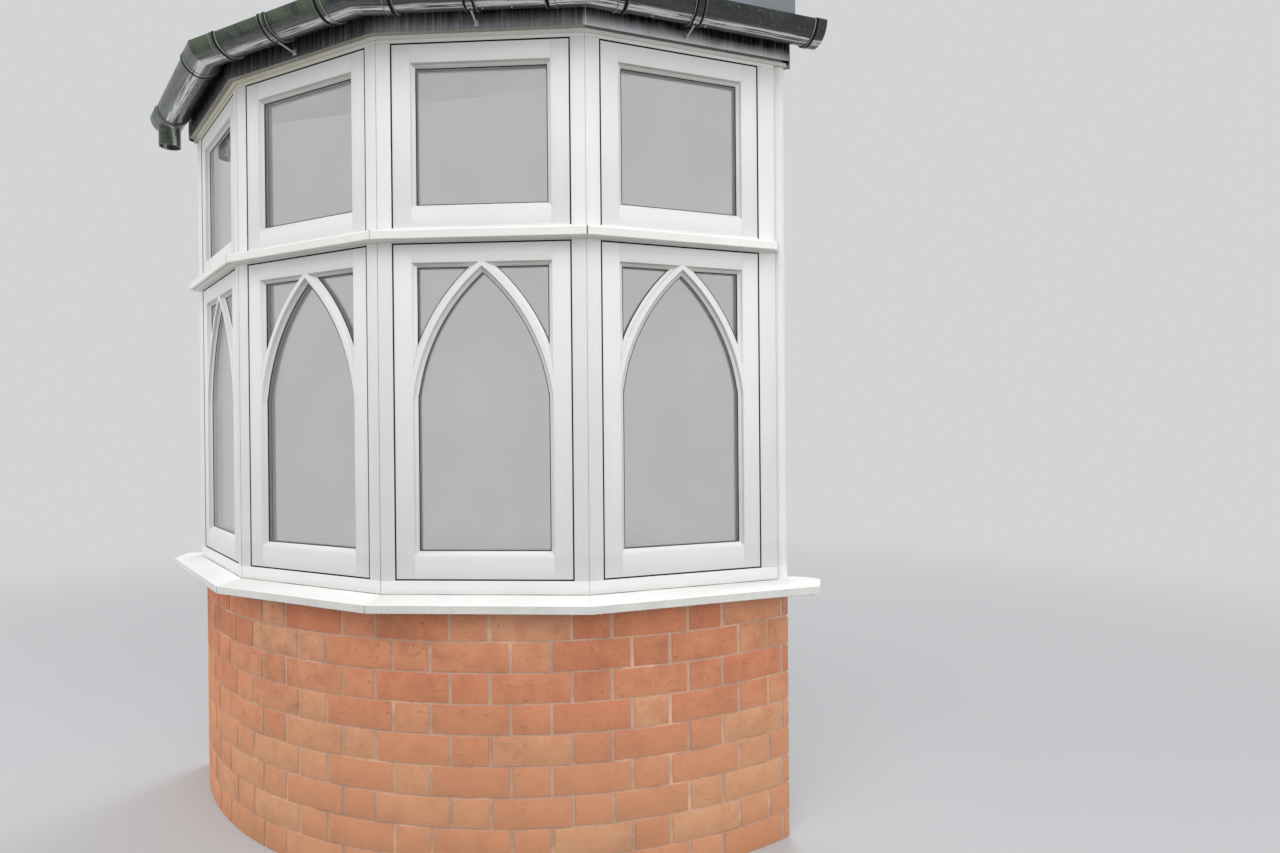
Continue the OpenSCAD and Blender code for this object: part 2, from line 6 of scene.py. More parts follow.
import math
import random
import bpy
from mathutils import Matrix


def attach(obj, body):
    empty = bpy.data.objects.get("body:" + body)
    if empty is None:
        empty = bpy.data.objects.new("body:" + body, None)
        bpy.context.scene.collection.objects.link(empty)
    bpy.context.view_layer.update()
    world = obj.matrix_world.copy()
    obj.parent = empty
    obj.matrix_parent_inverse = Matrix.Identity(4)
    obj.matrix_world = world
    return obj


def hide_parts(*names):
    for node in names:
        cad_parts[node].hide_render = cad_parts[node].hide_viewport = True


bl_info = {
    "name": "Bow Bay Window",
    "version": (1, 0, 0),
    "blender": (4, 5, 0),
    "location": "3D View > Sidebar > Bay Window",
    "description": "Builds the joinery, glass, brickwork, gutter and roof of a bow bay window",
    "category": "Add Mesh",
}

from functools import partial
from types import SimpleNamespace

import bmesh
import bpy
from bpy.props import FloatProperty, FloatVectorProperty, IntProperty, PointerProperty
from mathutils import Matrix, Vector

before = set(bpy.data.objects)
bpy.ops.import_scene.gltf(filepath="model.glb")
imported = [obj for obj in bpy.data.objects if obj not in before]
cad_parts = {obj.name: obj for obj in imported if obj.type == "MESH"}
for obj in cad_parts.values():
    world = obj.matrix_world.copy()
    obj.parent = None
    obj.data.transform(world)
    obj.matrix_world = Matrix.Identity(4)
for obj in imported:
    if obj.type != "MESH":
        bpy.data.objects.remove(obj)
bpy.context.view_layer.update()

SIDE_NAMES = ("left_side", "left_front", "right_front", "right_side")
# A length that reaches past every end of the bay, where a cut sets the real end
FAR = 3.0
X, Y, Z = Vector((1, 0, 0)), Vector((0, 1, 0)), Vector((0, 0, 1))


def linear(hex_colour):
    """Linear RGB of an sRGB hex colour."""
    parts = [int(hex_colour[i:i + 2], 16) / 255 for i in (1, 3, 5)]
    return tuple(c / 12.92 if c <= 0.04045 else ((c + 0.055) / 1.055) ** 2.4 for c in parts)


def length(label, about, default):
    """A size in metres that a user can change."""
    return FloatProperty(name=label, description=about, default=default, min=0.0, unit="LENGTH", precision=4)


def colour(label, about, hex_colour):
    """A paint or material colour that a user can change."""
    return FloatVectorProperty(name=label, description=about, default=linear(hex_colour),
                               size=3, min=0.0, max=1.0, subtype="COLOR")


class BayPlan(bpy.types.PropertyGroup):
    """Plan and levels of the bay."""
    facet_w: length("Side width", "Width of each of the four sides on the outer face", 0.620)
    turn: FloatProperty(name="Turn", description="Angle that the bay turns at each corner",
                        default=math.radians(23), subtype="ANGLE")
    wall_reach: length("Wall reach", "Wall plane to the outer corner of a side frame", 0.060)
    seat_z: length("Sill seat", "Height of the brickwork's top", 0.810)
    frame_h: length("Frame height", "Height of the window frames", 1.685)


class BayBrick(bpy.types.PropertyGroup):
    """Brick apron."""
    course_h: length("Course", "Height of a course with its bed joint", 0.090)
    courses: IntProperty(name="Courses", description="Courses from ground to sill", default=9, min=1)
    thickness: length("Wall thickness", "Thickness of the curved wall", 0.225)
    proud: length("Brick face", "Brick face past the middle corner of the frames", 0.012)
    wall_out: length("Wall end", "Brick face at the wall plane, past the side frame", 0.028)
    stretcher: length("Stretcher", "Length of a stretcher's face", 0.225)
    header: length("Header", "Length of a header's face", 0.106)
    perpend: length("Upright joint", "Width of the upright joints", 0.0115)
    shift: length("Bond shift", "How far the bond is moved to the right", 0.103)
    bed: length("Bed joint", "Height of the bed joints", 0.0060)
    joint_depth: length("Joint depth", "How far the mortar lies behind the brick face", 0.0030)
    plaster_t: length("Plaster", "Plaster on the inside of the apron", 0.012)


class BayJoinery(bpy.types.PropertyGroup):
    """Timber sill, frames, casements, drip and boards."""
    sill_proj: length("Sill reach", "Sill's nose past the frame", 0.078)
    sill_nose: length("Sill nose", "Height of the sill's nose", 0.024)
    sill_fall: length("Sill fall", "Fall of the sill's top", 0.014)
    sill_horn: length("Sill horn", "Sill past the side frame's corner", 0.131)
    frame_d: length("Frame depth", "Depth of the frames", 0.070)
    jamb_w: length("Jamb", "Width of a jamb at a corner", 0.0435)
    end_jamb_w: length("Wall jamb", "Width of the jamb at the wall plane", 0.057)
    bottom_rail: length("Bottom rail", "Height of the frame's bottom rail", 0.041)
    head_h: length("Head", "Height of the frame's head", 0.064)
    transom_h: length("Transom", "Height of the transom", 0.044)
    lower_light: length("Lower light", "Height of the lower opening", 0.993)
    stop_w: length("Stop", "Width of the stop the casements close on", 0.012)
    sash_gap: length("Casement gap", "Gap round a casement", 0.003)
    sash_t: length("Casement thickness", "Thickness of the casements", 0.048)
    sash_set: length("Casement set-back", "Casement's face behind the frame's face", 0.002)
    stile_w: length("Stile", "Face width of stiles and top rails", 0.055)
    sash_bottom: length("Casement bottom rail", "Height of the casement's bottom rail", 0.070)
    bevel_w: length("Bevel", "Width of the bevel round the glass", 0.0125)
    glass_set: length("Glass depth", "Glass behind the casement's face", 0.015)
    unit_t: length("Glass unit", "Thickness of the sealed glass unit", 0.020)
    unit_lap: length("Glass lap", "Glass unit behind the timber's edge", 0.010)
    bar_w: length("Gothic bar", "Face width of the arched bar", 0.015)
    arch_ratio: FloatProperty(name="Arch radius", default=1.43, min=0.6,
                              description="Radius of each arc as a share of the glass width")
    arch_lean: FloatProperty(name="Arch lean", description="Lean of each arc where it leaves the stile",
                             default=math.radians(6.3), subtype="ANGLE")
    crown_gap: length("Crown gap", "Point of the arch to the top rail", 0.012)
    drip_proj: length("Drip reach", "Drip moulding past the frame", 0.038)
    drip_nose: length("Drip nose", "Height of the drip's front face", 0.026)
    drip_back: length("Drip back", "Height of the drip at the transom", 0.037)
    drip_past: length("Drip end", "Drip past the side frame's corner", 0.010)
    arris: length("Arris", "Rounding on the timber's edges", 0.0012)


class BayEaves(bpy.types.PropertyGroup):
    """Fascia, gutter and roof."""
    fascia_t: length("Fascia", "Thickness of the fascia boards", 0.024)
    fascia_h: length("Fascia height", "Height of the fascia boards", 0.095)
    fascia_lap: length("Fascia lap", "Fascia's lap over the frame's head", 0.045)
    fascia_past: length("Fascia end", "Fascia past the side frame's corner", 0.048)
    trim_h: length("Trim", "Height of the white trim under the fascia", 0.009)
    gutter_r: length("Gutter radius", "Outer radius of the half-round gutter", 0.054)
    gutter_wall: length("Gutter wall", "Wall thickness of the gutter", 0.0025)
    gutter_gap: length("Gutter gap", "Fascia to the gutter's inner rim", 0.008)
    gutter_drop: length("Gutter drop", "Fascia's top above the gutter's rim", 0.015)
    gutter_past: length("Gutter end", "Gutter past the side frame's corner", 0.100)
    angle_len: length("Gutter angle", "Half length of a gutter angle", 0.085)
    collar_len: length("Bracket collar", "Length of the collar at a bracket", 0.034)
    pitch: FloatProperty(name="Pitch", description="Pitch of the roof",
                         default=math.radians(20), subtype="ANGLE")
    roof_t: length("Boards and slates", "Vertical thickness of boards and slates", 0.026)
    eaves_out: length("Eaves", "Slates past the fascia", 0.045)
    roof_past: length("Roof end", "Roof past the side frame's corner", 0.066)
    slate_w: length("Slate width", "Width of a slate", 0.180)
    slate_gauge: length("Slate gauge", "Height of a slate that shows", 0.105)
    slate_t: length("Slate thickness", "Thickness of a slate", 0.005)


class BayColours(bpy.types.PropertyGroup):
    """Colours of the finishes."""
    white: colour("White paint", "Satin paint on the window joinery", "#E4E4E3")
    sill: colour("Sill paint", "Gloss paint on the sill and drip", "#F8F8F5")
    # Grime colour, also laid on as painted shade of the sill's nose and the undersides
    grime_and_shade: colour("Grime", "Weather stain on the sill's nose and under edges", "#B1AFA8")
    brick_a: colour("Brick, orange", "Commonest brick colour", "#D18C68")
    brick_b: colour("Brick, red", "Redder bricks", "#CD8060")
    brick_c: colour("Brick, light", "Lighter bricks", "#D49D7B")
    mortar: colour("Mortar", "Pinkish lime mortar", "#D0A991")
    plaster: colour("Plaster", "Painted plaster inside", "#DCD8CF")
    fascia: colour("Fascia paint", "Black gloss paint", "#1B1C1F")
    gutter: colour("Gutter", "Black moulded plastic", "#1F2223")
    moss: colour("Gutter stain", "Green growth on the gutter", "#4B5743")
    slate: colour("Slate", "Blue-grey riven slate", "#4C525A")
    lead: colour("Lead", "Weathered sheet lead", "#868B90")
    timber: colour("Sawn timber", "Rafters and boards", "#C3A273")
    glass: colour("Glass", "Tint of each pane of the sealed units", "#F2F2F2")


class BayStage(bpy.types.PropertyGroup):
    """Camera and light."""
    lens: FloatProperty(name="Lens", description="Focal length in mm on a 36 mm sensor", default=21.16)
    place: FloatVectorProperty(name="Camera", description="Where the camera stands", size=3,
                               default=(1.3117, -2.1411, 1.327), subtype="TRANSLATION")
    pale: colour("Backdrop", "Pale surround behind the object", "#D3D4D6")


def node(tree, kind, links=(), out=0, **settings):
    """Add one node with its settings and inputs, as values or links, and return one of its outputs.

    A kind without the word Node is a shader node. Inputs are given in order or by their names.
    """
    made = tree.nodes.new(kind if "Node" in kind else "ShaderNode" + kind)
    for key, value in settings.items():
        setattr(made, key, value)
    for socket, value in links.items() if isinstance(links, dict) else enumerate(links):
        if isinstance(value, bpy.types.NodeSocket):
            tree.links.new(value, made.inputs[socket])
        else:
            made.inputs[socket].default_value = value
    return made.outputs[out] if made.outputs else made


def rgba(tint, factor=1.0):
    """Four channels of a hex colour or a colour property, made lighter or darker by a factor."""
    values = linear(tint) if isinstance(tint, str) else tint
    return tuple(min(1.0, c * factor) for c in values) + (1.0,)


# Plan of the bay


def plan():
    """Corners, levels and gutter measures from the sizes."""
    scene = bpy.context.scene
    p, b, j, e = scene.bay_plan, scene.bay_brick, scene.bay_joinery, scene.bay_eaves
    out = SimpleNamespace(p=p, b=b, j=j, e=e)
    out.front = p.turn / 2
    out.side = 1.5 * p.turn
    depth = p.wall_reach + p.facet_w * (math.sin(out.front) + math.sin(out.side))
    out.gutter_out = e.fascia_t + e.gutter_gap + e.gutter_r
    collar_t = 0.004
    out.collar_r = e.gutter_r + collar_t
    reach = depth + (out.gutter_out + out.collar_r) / math.cos(p.turn / 2)
    out.wall = reach / 2
    out.middle = Vector((0.0, out.wall - depth, 0.0))
    out.knee = out.middle + p.facet_w * Vector((math.cos(out.front), math.sin(out.front), 0.0))
    out.end = out.knee + p.facet_w * Vector((math.cos(out.side), math.sin(out.side), 0.0))
    out.frame_z = p.seat_z + j.sill_nose + j.sill_fall
    out.transom_z = out.frame_z + j.bottom_rail + j.lower_light
    out.upper_z = out.transom_z + j.transom_h
    out.upper_h = p.frame_h - j.head_h - (out.upper_z - out.frame_z)
    out.head_z = out.frame_z + p.frame_h
    out.fascia_z = out.head_z - e.fascia_lap
    out.fascia_top = out.fascia_z + e.fascia_h
    out.rim_z = out.fascia_top - e.gutter_drop
    out.stop_y = j.sash_set + j.sash_t
    out.glass_y = j.sash_set + j.glass_set
    apron_x = out.end.x + b.wall_out
    apron_y = depth + b.proud
    out.apron_r = (apron_x ** 2 + apron_y ** 2) / (2 * apron_y)
    out.apron_y = out.wall - apron_y + out.apron_r
    return out


def is_side(k):
    """True for the two sides that meet the wall plane."""
    return k in (0, 3)


def place(p, k):
    """Local frame of the right-hand twin of side k: x along it, y inwards from its outer face."""
    base = p.knee if is_side(k) else p.middle
    return Matrix.Translation(base) @ Matrix.Rotation(p.side if is_side(k) else p.front, 4, "Z")


def region(p, k, reach=FAR):
    """Planes that bound side k's own region, as a point and an outward normal, right-hand twin."""
    turn = p.p.turn
    across = Vector((math.cos(turn), math.sin(turn), 0.0))
    if is_side(k):
        return [(p.knee, -across), (Y * p.wall, Y), (X * reach, X)]
    return [(X * 0, -X), (p.knee, across)]


# Solids


def prism(section, start, end, axis="X"):
    """Closed bar with a drawn section. Along X the section is (y, z), along Z it is (x, y)."""
    made = bmesh.new()
    ends = []
    for at in (start, end):
        points = [(at, a, b) if axis == "X" else (a, b, at) for a, b in section]
        ends.append([made.verts.new(point) for point in points])
    made.faces.new(ends[0])
    made.faces.new(ends[1])
    count = len(section)
    for i in range(count):
        made.faces.new((ends[0][i], ends[0][(i + 1) % count], ends[1][(i + 1) % count], ends[1][i]))
    bmesh.ops.recalc_face_normals(made, faces=made.faces)
    return made


def block(low, high):
    """Closed box between two corners."""
    section = [(low[1], low[2]), (high[1], low[2]), (high[1], high[2]), (low[1], high[2])]
    return prism(section, low[0], high[0])


def cut(made, planes):
    """Trim a solid to the inner side of planes, with each cut closed."""
    for point, normal in planes:
        everything = made.verts[:] + made.edges[:] + made.faces[:]
        split = bmesh.ops.bisect_plane(made, geom=everything, dist=1e-6, plane_co=point,
                                       plane_no=normal, clear_outer=True)
        rim = [e for e in split["geom_cut"] if isinstance(e, bmesh.types.BMEdge) and e.is_boundary]
        if rim:
            bmesh.ops.holes_fill(made, edges=rim, sides=0)
    return made


def soften(made, width, least=60.0, segments=2):
    """Round the sharp edges of a solid."""
    sharp = [e for e in made.edges if len(e.link_faces) == 2
             and e.calc_face_angle(0.0) > math.radians(least)]
    if sharp and width > 0:
        bmesh.ops.bevel(made, geom=sharp, offset=width, offset_type="OFFSET", segments=segments,
                        profile=0.5, affect="EDGES", clamp_overlap=True)
    return made


def put(made, p, k):
    """Move a solid drawn on the right-hand local frame to side k."""
    made.transform(place(p, k))
    return made


def mirrored(made, k):
    """Turn the right-hand twin into side k."""
    if k < 2:
        made.transform(Matrix.Scale(-1, 4, X))
        bmesh.ops.reverse_faces(made, faces=made.faces)
    return made


def run_along(p, k, section, start=-FAR / 2, end=2 * FAR, reach=FAR, round_to=0.0, axis="X"):
    """A section run along side k or up it, mitred where it meets its neighbours."""
    made = put(prism(section, start, end, axis), p, k)
    cut(made, region(p, k, reach))
    soften(made, round_to)
    return mirrored(made, k)


def join(target, solid):
    """Add a solid to another, and free it."""
    carrier = bpy.data.meshes.new("carrier")
    solid.to_mesh(carrier)
    solid.free()
    target.from_mesh(carrier)
    bpy.data.meshes.remove(carrier)


def mesh_object(name, solid):
    """Object that holds a solid's mesh. The solid itself is freed."""
    mesh = bpy.data.meshes.new(name)
    solid.to_mesh(mesh)
    solid.free()
    return bpy.data.objects.new(name, mesh)


class Piece:
    """Gathers closed solids into one mesh. Each keeps its grain direction and its own tone."""

    def __init__(self, name, seed=0):
        self.name = name
        self.mesh = bmesh.new()
        self.mesh.verts.layers.float.new("run")
        self.mesh.verts.layers.float.new("tone")
        self.random = random.Random(seed)

    def add(self, solid, run=0.0, material=0, tone=None):
        """Add a solid. run is 0 for upright grain and 1 for level grain."""
        run_layer = solid.verts.layers.float.get("run") or solid.verts.layers.float.new("run")
        tone_layer = solid.verts.layers.float.get("tone") or solid.verts.layers.float.new("tone")
        value = self.random.random() if tone is None else tone
        for v in solid.verts:
            v[run_layer] = run
            v[tone_layer] = value
        for f in solid.faces:
            f.material_index = material
        join(self.mesh, solid)

    def lay(self, solid, p, k, **finish):
        """Add a solid drawn on the right-hand local frame, at side k."""
        self.add(mirrored(put(solid, p, k), k), **finish)

    def finish(self, finishes, replaces=(), slot=None, crease=25.0):
        """Make the object, put it on the body and hide the CAD nodes that it replaces."""
        dress(mesh_object(self.name, self.mesh), finishes, replaces, crease)


def dress(made, finishes, replaces=(), crease=25.0):
    """Give a mesh object its finishes and smooth curves, and ride it on the body."""
    bpy.context.scene.collection.objects.link(made)
    faces = made.data.polygons
    for name in finishes:
        made.data.materials.append(found(name))
    faces.foreach_set("use_smooth", [True] * len(faces))
    made.data.set_sharp_from_angle(angle=math.radians(crease))
    made.data.update()
    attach(made, "root")
    if replaces:
        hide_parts(*replaces)


def cad_solid(name):
    """Merged copy of a CAD node, with its flat faces joined up."""
    made = bmesh.new()
    made.from_mesh(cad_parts[name].data)
    bmesh.ops.remove_doubles(made, verts=made.verts, dist=2e-5)
    bmesh.ops.dissolve_limit(made, angle_limit=math.radians(0.6), verts=made.verts, edges=made.edges)
    return made


def cad_piece(node_name, made_name, seed, name, slot, run=0.0, crease=25.0):
    """A CAD node's own shape as a finished piece."""
    piece = Piece(made_name, seed)
    piece.add(cad_solid(node_name), run=run)
    piece.finish([name], [node_name], slot, crease)


def arc(cy, cz, radius, start, end, count):
    """Points on an arc in (y, z), angles in degrees."""
    steps = [math.radians(start + (end - start) * i / count) for i in range(count + 1)]
    return [(cy + radius * math.cos(a), cz + radius * math.sin(a)) for a in steps]


# Geometry trees


def new_tree(name, inputs):
    """Geometry tree with inputs named in groups of one kind, what adds to it, and its inputs."""
    tree = bpy.data.node_groups.new(name, "GeometryNodeTree")
    tree.interface.new_socket("Geometry", in_out="INPUT", socket_type="NodeSocketGeometry")
    for kind, labels in inputs:
        for label in labels:
            tree.interface.new_socket(label, in_out="INPUT", socket_type="NodeSocket" + kind)
    tree.interface.new_socket("Geometry", in_out="OUTPUT", socket_type="NodeSocketGeometry")
    return tree, partial(node, tree), node(tree, "NodeGroupInput").node.outputs


def close_tree(tree, geometry, given):
    """End a tree with its material."""
    dressed = node(tree, "GeometryNodeSetMaterial", {"Geometry": geometry, "Material": given["Material"]})
    node(tree, "NodeGroupOutput", (dressed,))
    return tree


def template(name, solid):
    """Object that a tree repeats, removed after the mesh is made."""
    made = mesh_object(name, solid)
    bpy.context.scene.collection.objects.link(made)
    return made


def discard(*objects):
    """Remove template objects and their meshes."""
    for made in objects:
        mesh = made.data
        bpy.data.objects.remove(made)
        bpy.data.meshes.remove(mesh)


def grown(tree, values, base=None):
    """Solid that a geometry tree makes from these named inputs, and from a base where it needs one."""
    holder = template("grown", base or bmesh.new())
    modifier = holder.modifiers.new("Build", "NODES")
    modifier.node_group = tree
    for item in tree.interface.items_tree:
        if item.in_out == "INPUT" and item.name in values:
            modifier[item.identifier] = values[item.name]
    graph = bpy.context.evaluated_depsgraph_get()
    mesh = bpy.data.meshes.new_from_object(holder.evaluated_get(graph), preserve_all_data_layers=True,
                                           depsgraph=graph)
    made = bmesh.new()
    made.from_mesh(mesh)
    # Set Material adds a slot of its own after the empty first one
    for f in made.faces:
        f.material_index = 0
    holder.modifiers.remove(modifier)
    discard(holder)
    bpy.data.meshes.remove(mesh)
    return made


def rows(add, given, per):
    """Points for courses with per copies in each, and each point's row and column."""
    total = add("Math", (given["Courses"], per), operation="MULTIPLY")
    line = add("GeometryNodeMeshLine", {"Count": total, "Offset": (0, 0, 0)})
    index = add("GeometryNodeInputIndex")
    share = add("Math", (index, per), operation="DIVIDE")
    row = add("Math", (share,), operation="FLOOR")
    before = add("Math", (row, per), operation="MULTIPLY")
    column = add("Math", (index, before), operation="SUBTRACT")
    return line, row, column


def random_tones(add, copies, given):
    """Give each copy its own tone."""
    tone = add("FunctionNodeRandomValue", {"Seed": given["Seed"]}, 1, data_type="FLOAT")
    return add("GeometryNodeStoreNamedAttribute", {"Geometry": copies, "Name": "tone", "Value": tone},
               data_type="FLOAT", domain="INSTANCE")


def bond_tree():
    """Flemish bond: headers and stretchers take turns, and each course is the other way round."""
    tree, add, given = new_tree("Flemish bond", (
        ("Float", ("Radius", "Centre", "Course height", "Spacing", "Shift", "Unevenness")),
        ("Int", ("Courses", "Bricks in a course", "Seed")),
        ("Object", ("Stretcher", "Header")), ("Material", ("Material",)),
    ))
    per = given["Bricks in a course"]
    line, row, column = rows(add, given, per)
    last = add("Math", (per, -1.0), operation="ADD")
    half = add("Math", (last, 0.5), operation="MULTIPLY")
    step = add("Math", (column, half), operation="SUBTRACT")
    along = add("Math", (step, given["Spacing"], given["Shift"]), operation="MULTIPLY_ADD")
    middle = add("Math", (row, 0.5), operation="ADD")
    up = add("Math", (middle, given["Course height"]), operation="MULTIPLY")
    spot = add("CombineXYZ", {0: along, 2: up})
    points = add("GeometryNodeSetPosition", {"Geometry": line, "Position": spot})
    both = add("Math", (row, column), operation="ADD")
    odd = add("Math", (both, 2.0), operation="MODULO")
    even = add("Math", (odd, 0.5), operation="LESS_THAN")
    sway = add("FunctionNodeRandomValue", {
        0: (-0.003, -0.002, -0.002), 1: (0.003, 0.002, 0.002), "Seed": given["Seed"],
    }, data_type="FLOAT_VECTOR")
    laid = add("GeometryNodeJoinGeometry")
    for chosen, label in ((odd, "Stretcher"), (even, "Header")):
        source = add("GeometryNodeObjectInfo", {"Object": given[label]}, "Geometry")
        copies = add("GeometryNodeInstanceOnPoints", {
            "Points": points, "Selection": chosen, "Instance": source, "Rotation": sway,
        })
        tree.links.new(copies, laid.node.inputs[0])
    nudge = add("FunctionNodeRandomValue", {
        0: (-0.0006, 0.0, -0.0005), 1: (0.0006, 0.0006, 0.0005), "Seed": given["Seed"],
    }, data_type="FLOAT_VECTOR")
    moved = add("GeometryNodeTranslateInstances", {"Instances": laid, "Translation": nudge})
    real = add("GeometryNodeRealizeInstances", (random_tones(add, moved, given),))
    at = add("GeometryNodeInputPosition")
    x, y, z = add("SeparateXYZ", (at,)).node.outputs
    waves = add("TexNoise", {"Vector": at, "Scale": 17.0, "Detail": 3.0})
    depth = add("Math", (waves, given["Unevenness"]), operation="MULTIPLY")
    face = add("Math", (y, 0.02), operation="LESS_THAN")
    dent = add("Math", (depth, face), operation="MULTIPLY")
    inward = add("Math", (y, dent), operation="ADD")
    angle = add("Math", (x, given["Radius"]), operation="DIVIDE")
    radius = add("Math", (given["Radius"], inward), operation="SUBTRACT")
    bent_x = add("Math", (radius, add("Math", (angle,), operation="SINE")), operation="MULTIPLY")
    back = add("Math", (radius, add("Math", (angle,), operation="COSINE")), operation="MULTIPLY")
    bent_y = add("Math", (given["Centre"], back), operation="SUBTRACT")
    bent = add("CombineXYZ", (bent_x, bent_y, z))
    curved = add("GeometryNodeSetPosition", {"Geometry": real, "Position": bent})
    return close_tree(tree, curved, given)


def slate_tree():
    """Slates in courses up one slope, each course moved half a slate and laid over the one below."""
    tree, add, given = new_tree("Slate courses", (
        ("Vector", ("Place",)), ("Float", ("Turn", "Pitch", "Slate width", "Gauge")),
        ("Int", ("Courses", "Slates in a course", "Seed")),
        ("Object", ("Slate",)), ("Material", ("Material",)),
    ))
    line, row, column = rows(add, given, given["Slates in a course"])
    odd = add("Math", (row, 2.0), operation="MODULO")
    half = add("Math", (odd, 0.5), operation="MULTIPLY")
    step = add("Math", (column, half), operation="ADD")
    along = add("Math", (step, given["Slate width"]), operation="MULTIPLY")
    up = add("Math", (row, given["Gauge"]), operation="MULTIPLY")
    spot = add("CombineXYZ", (along, up))
    points = add("GeometryNodeSetPosition", {"Geometry": line, "Position": spot})
    sway = add("FunctionNodeRandomValue", {
        0: (0.0, -0.002, -0.012), 1: (0.003, 0.002, 0.012), "Seed": given["Seed"],
    }, data_type="FLOAT_VECTOR")
    source = add("GeometryNodeObjectInfo", {"Object": given["Slate"]}, "Geometry")
    copies = add("GeometryNodeInstanceOnPoints", {"Points": points, "Instance": source, "Rotation": sway})
    real = add("GeometryNodeRealizeInstances", (random_tones(add, copies, given),))
    lean = add("CombineXYZ", (given["Pitch"],))
    leant = add("GeometryNodeTransform", {"Geometry": real, "Rotation": lean})
    swing = add("CombineXYZ", {2: given["Turn"]})
    placed = add("GeometryNodeTransform", {
        "Geometry": leant, "Translation": given["Place"], "Rotation": swing,
    })
    return close_tree(tree, placed, given)


def drops_tree():
    """Water drops hanging in a row under an edge, with gaps and mixed sizes."""
    tree, add, given = new_tree("Hanging drops", (
        ("Vector", ("Start", "Step")), ("Int", ("Count", "Seed")), ("Float", ("Share",)),
        ("Object", ("Drop",)), ("Material", ("Material",)),
    ))
    line = add("GeometryNodeMeshLine", {
        "Count": given["Count"], "Start Location": given["Start"], "Offset": given["Step"],
    })
    chosen = add("FunctionNodeRandomValue", {
        "Probability": given["Share"], "Seed": given["Seed"],
    }, 3, data_type="BOOLEAN")
    size = add("FunctionNodeRandomValue", {2: 0.55, 3: 1.0, "Seed": given["Seed"]}, 1, data_type="FLOAT")
    source = add("GeometryNodeObjectInfo", {"Object": given["Drop"]}, "Geometry")
    copies = add("GeometryNodeInstanceOnPoints", {
        "Points": line, "Selection": chosen, "Instance": source, "Scale": size,
    })
    return close_tree(tree, add("GeometryNodeRealizeInstances", (copies,)), given)


def rain_tree():
    """Rain drops scattered on a pane, flattened against it."""
    tree, add, given = new_tree("Rain on glass", (
        ("Float", ("Density",)), ("Int", ("Seed",)), ("Object", ("Drop",)), ("Material", ("Material",)),
    ))
    spread = add("GeometryNodeDistributePointsOnFaces", {
        "Mesh": given["Geometry"], "Density": given["Density"], "Seed": given["Seed"],
    })
    size = add("FunctionNodeRandomValue", {2: 0.35, 3: 1.0, "Seed": given["Seed"]}, 1, data_type="FLOAT")
    source = add("GeometryNodeObjectInfo", {"Object": given["Drop"]}, "Geometry")
    copies = add("GeometryNodeInstanceOnPoints", {
        "Points": spread, "Instance": source, "Rotation": spread.node.outputs["Rotation"], "Scale": size,
    })
    return close_tree(tree, add("GeometryNodeRealizeInstances", (copies,)), given)


# Materials


def new_material(name, roughness, **values):
    """Material with its shader's own sockets set, what adds to its tree, and its object coordinates."""
    made = bpy.data.materials.new(name)
    made.use_nodes = True
    sockets = made.node_tree.nodes["Principled BSDF"].inputs
    sockets["Roughness"].default_value = roughness
    for key, value in values.items():
        sockets[key.replace("_", " ")].default_value = value
    add = partial(node, made.node_tree)
    return made, add, add("TexCoord", out="Object")


def reopened(made):
    """What adds to a finished material's tree, its colour so far and its object coordinates."""
    add = partial(node, made.node_tree)
    so_far = made.node_tree.nodes["Principled BSDF"].inputs["Base Color"].links[0].from_socket
    return add, so_far, add("TexCoord", out="Object")


def layered(add, under, over, pattern, *span):
    """Lay a colour over another where a pattern rises through a span, given as low, high, start, full."""
    share = add("MapRange", (pattern, *span))
    return add("Mix", {0: share, 6: under, 7: over}, 2, data_type="RGBA")


def covered(made, tint, relief=None, strength=0.0, depth=0.0, rough=None):
    """Link a material's colour, its relief up to a depth in metres, and its roughness where it varies."""
    tree = made.node_tree
    sockets = tree.nodes["Principled BSDF"].inputs
    tree.links.new(tint, sockets["Base Color"])
    if rough is not None:
        tree.links.new(rough, sockets["Roughness"])
    if relief is not None:
        bump = node(tree, "Bump", {"Height": relief, "Strength": strength, "Distance": depth})
        tree.links.new(bump, sockets["Normal"])
    return made


def two_tone(made, pattern, one, other, *relief):
    """Colour a material between two tints by a pattern."""
    tint = node(made.node_tree, "Mix", {0: pattern, 6: one, 7: other}, 2, data_type="RGBA")
    return covered(made, tint, *relief)


def timber_paint(name, paint, roughness):
    """Brush-painted joinery timber. Soft sheen, with the grain just telegraphing through the paint."""
    made, add, at = new_material(name, roughness)
    # Grain of 2 to 5 mm is drawn at 6 mm across, so that it shows
    upright = add("Mapping", {"Vector": at, "Scale": (160, 160, 3)})
    level = add("Mapping", {"Vector": at, "Scale": (3, 3, 160)})
    a = add("TexNoise", {"Vector": upright, "Scale": 1.0, "Detail": 3.0})
    b = add("TexNoise", {"Vector": level, "Scale": 1.0, "Detail": 3.0})
    run = add("Attribute", out="Fac", attribute_name="run")
    grain = add("Mix", {0: run, 2: a, 3: b})
    cloud = add("TexNoise", {"Vector": at, "Scale": 5.0, "Detail": 5.0})
    base = layered(add, rgba(paint), rgba(paint, 0.9), cloud, 0.35, 0.75, 0.0, 0.55)
    tone = add("Attribute", out="Fac", attribute_name="tone")
    toned = layered(add, base, rgba(paint, 0.9), tone, 0.0, 1.0, 0.0, 0.04)
    final = layered(add, toned, rgba(paint, 0.84), grain, 0.5, 0.8, 0.0, 0.22)
    return covered(made, final, grain, 0.35, 0.0006)


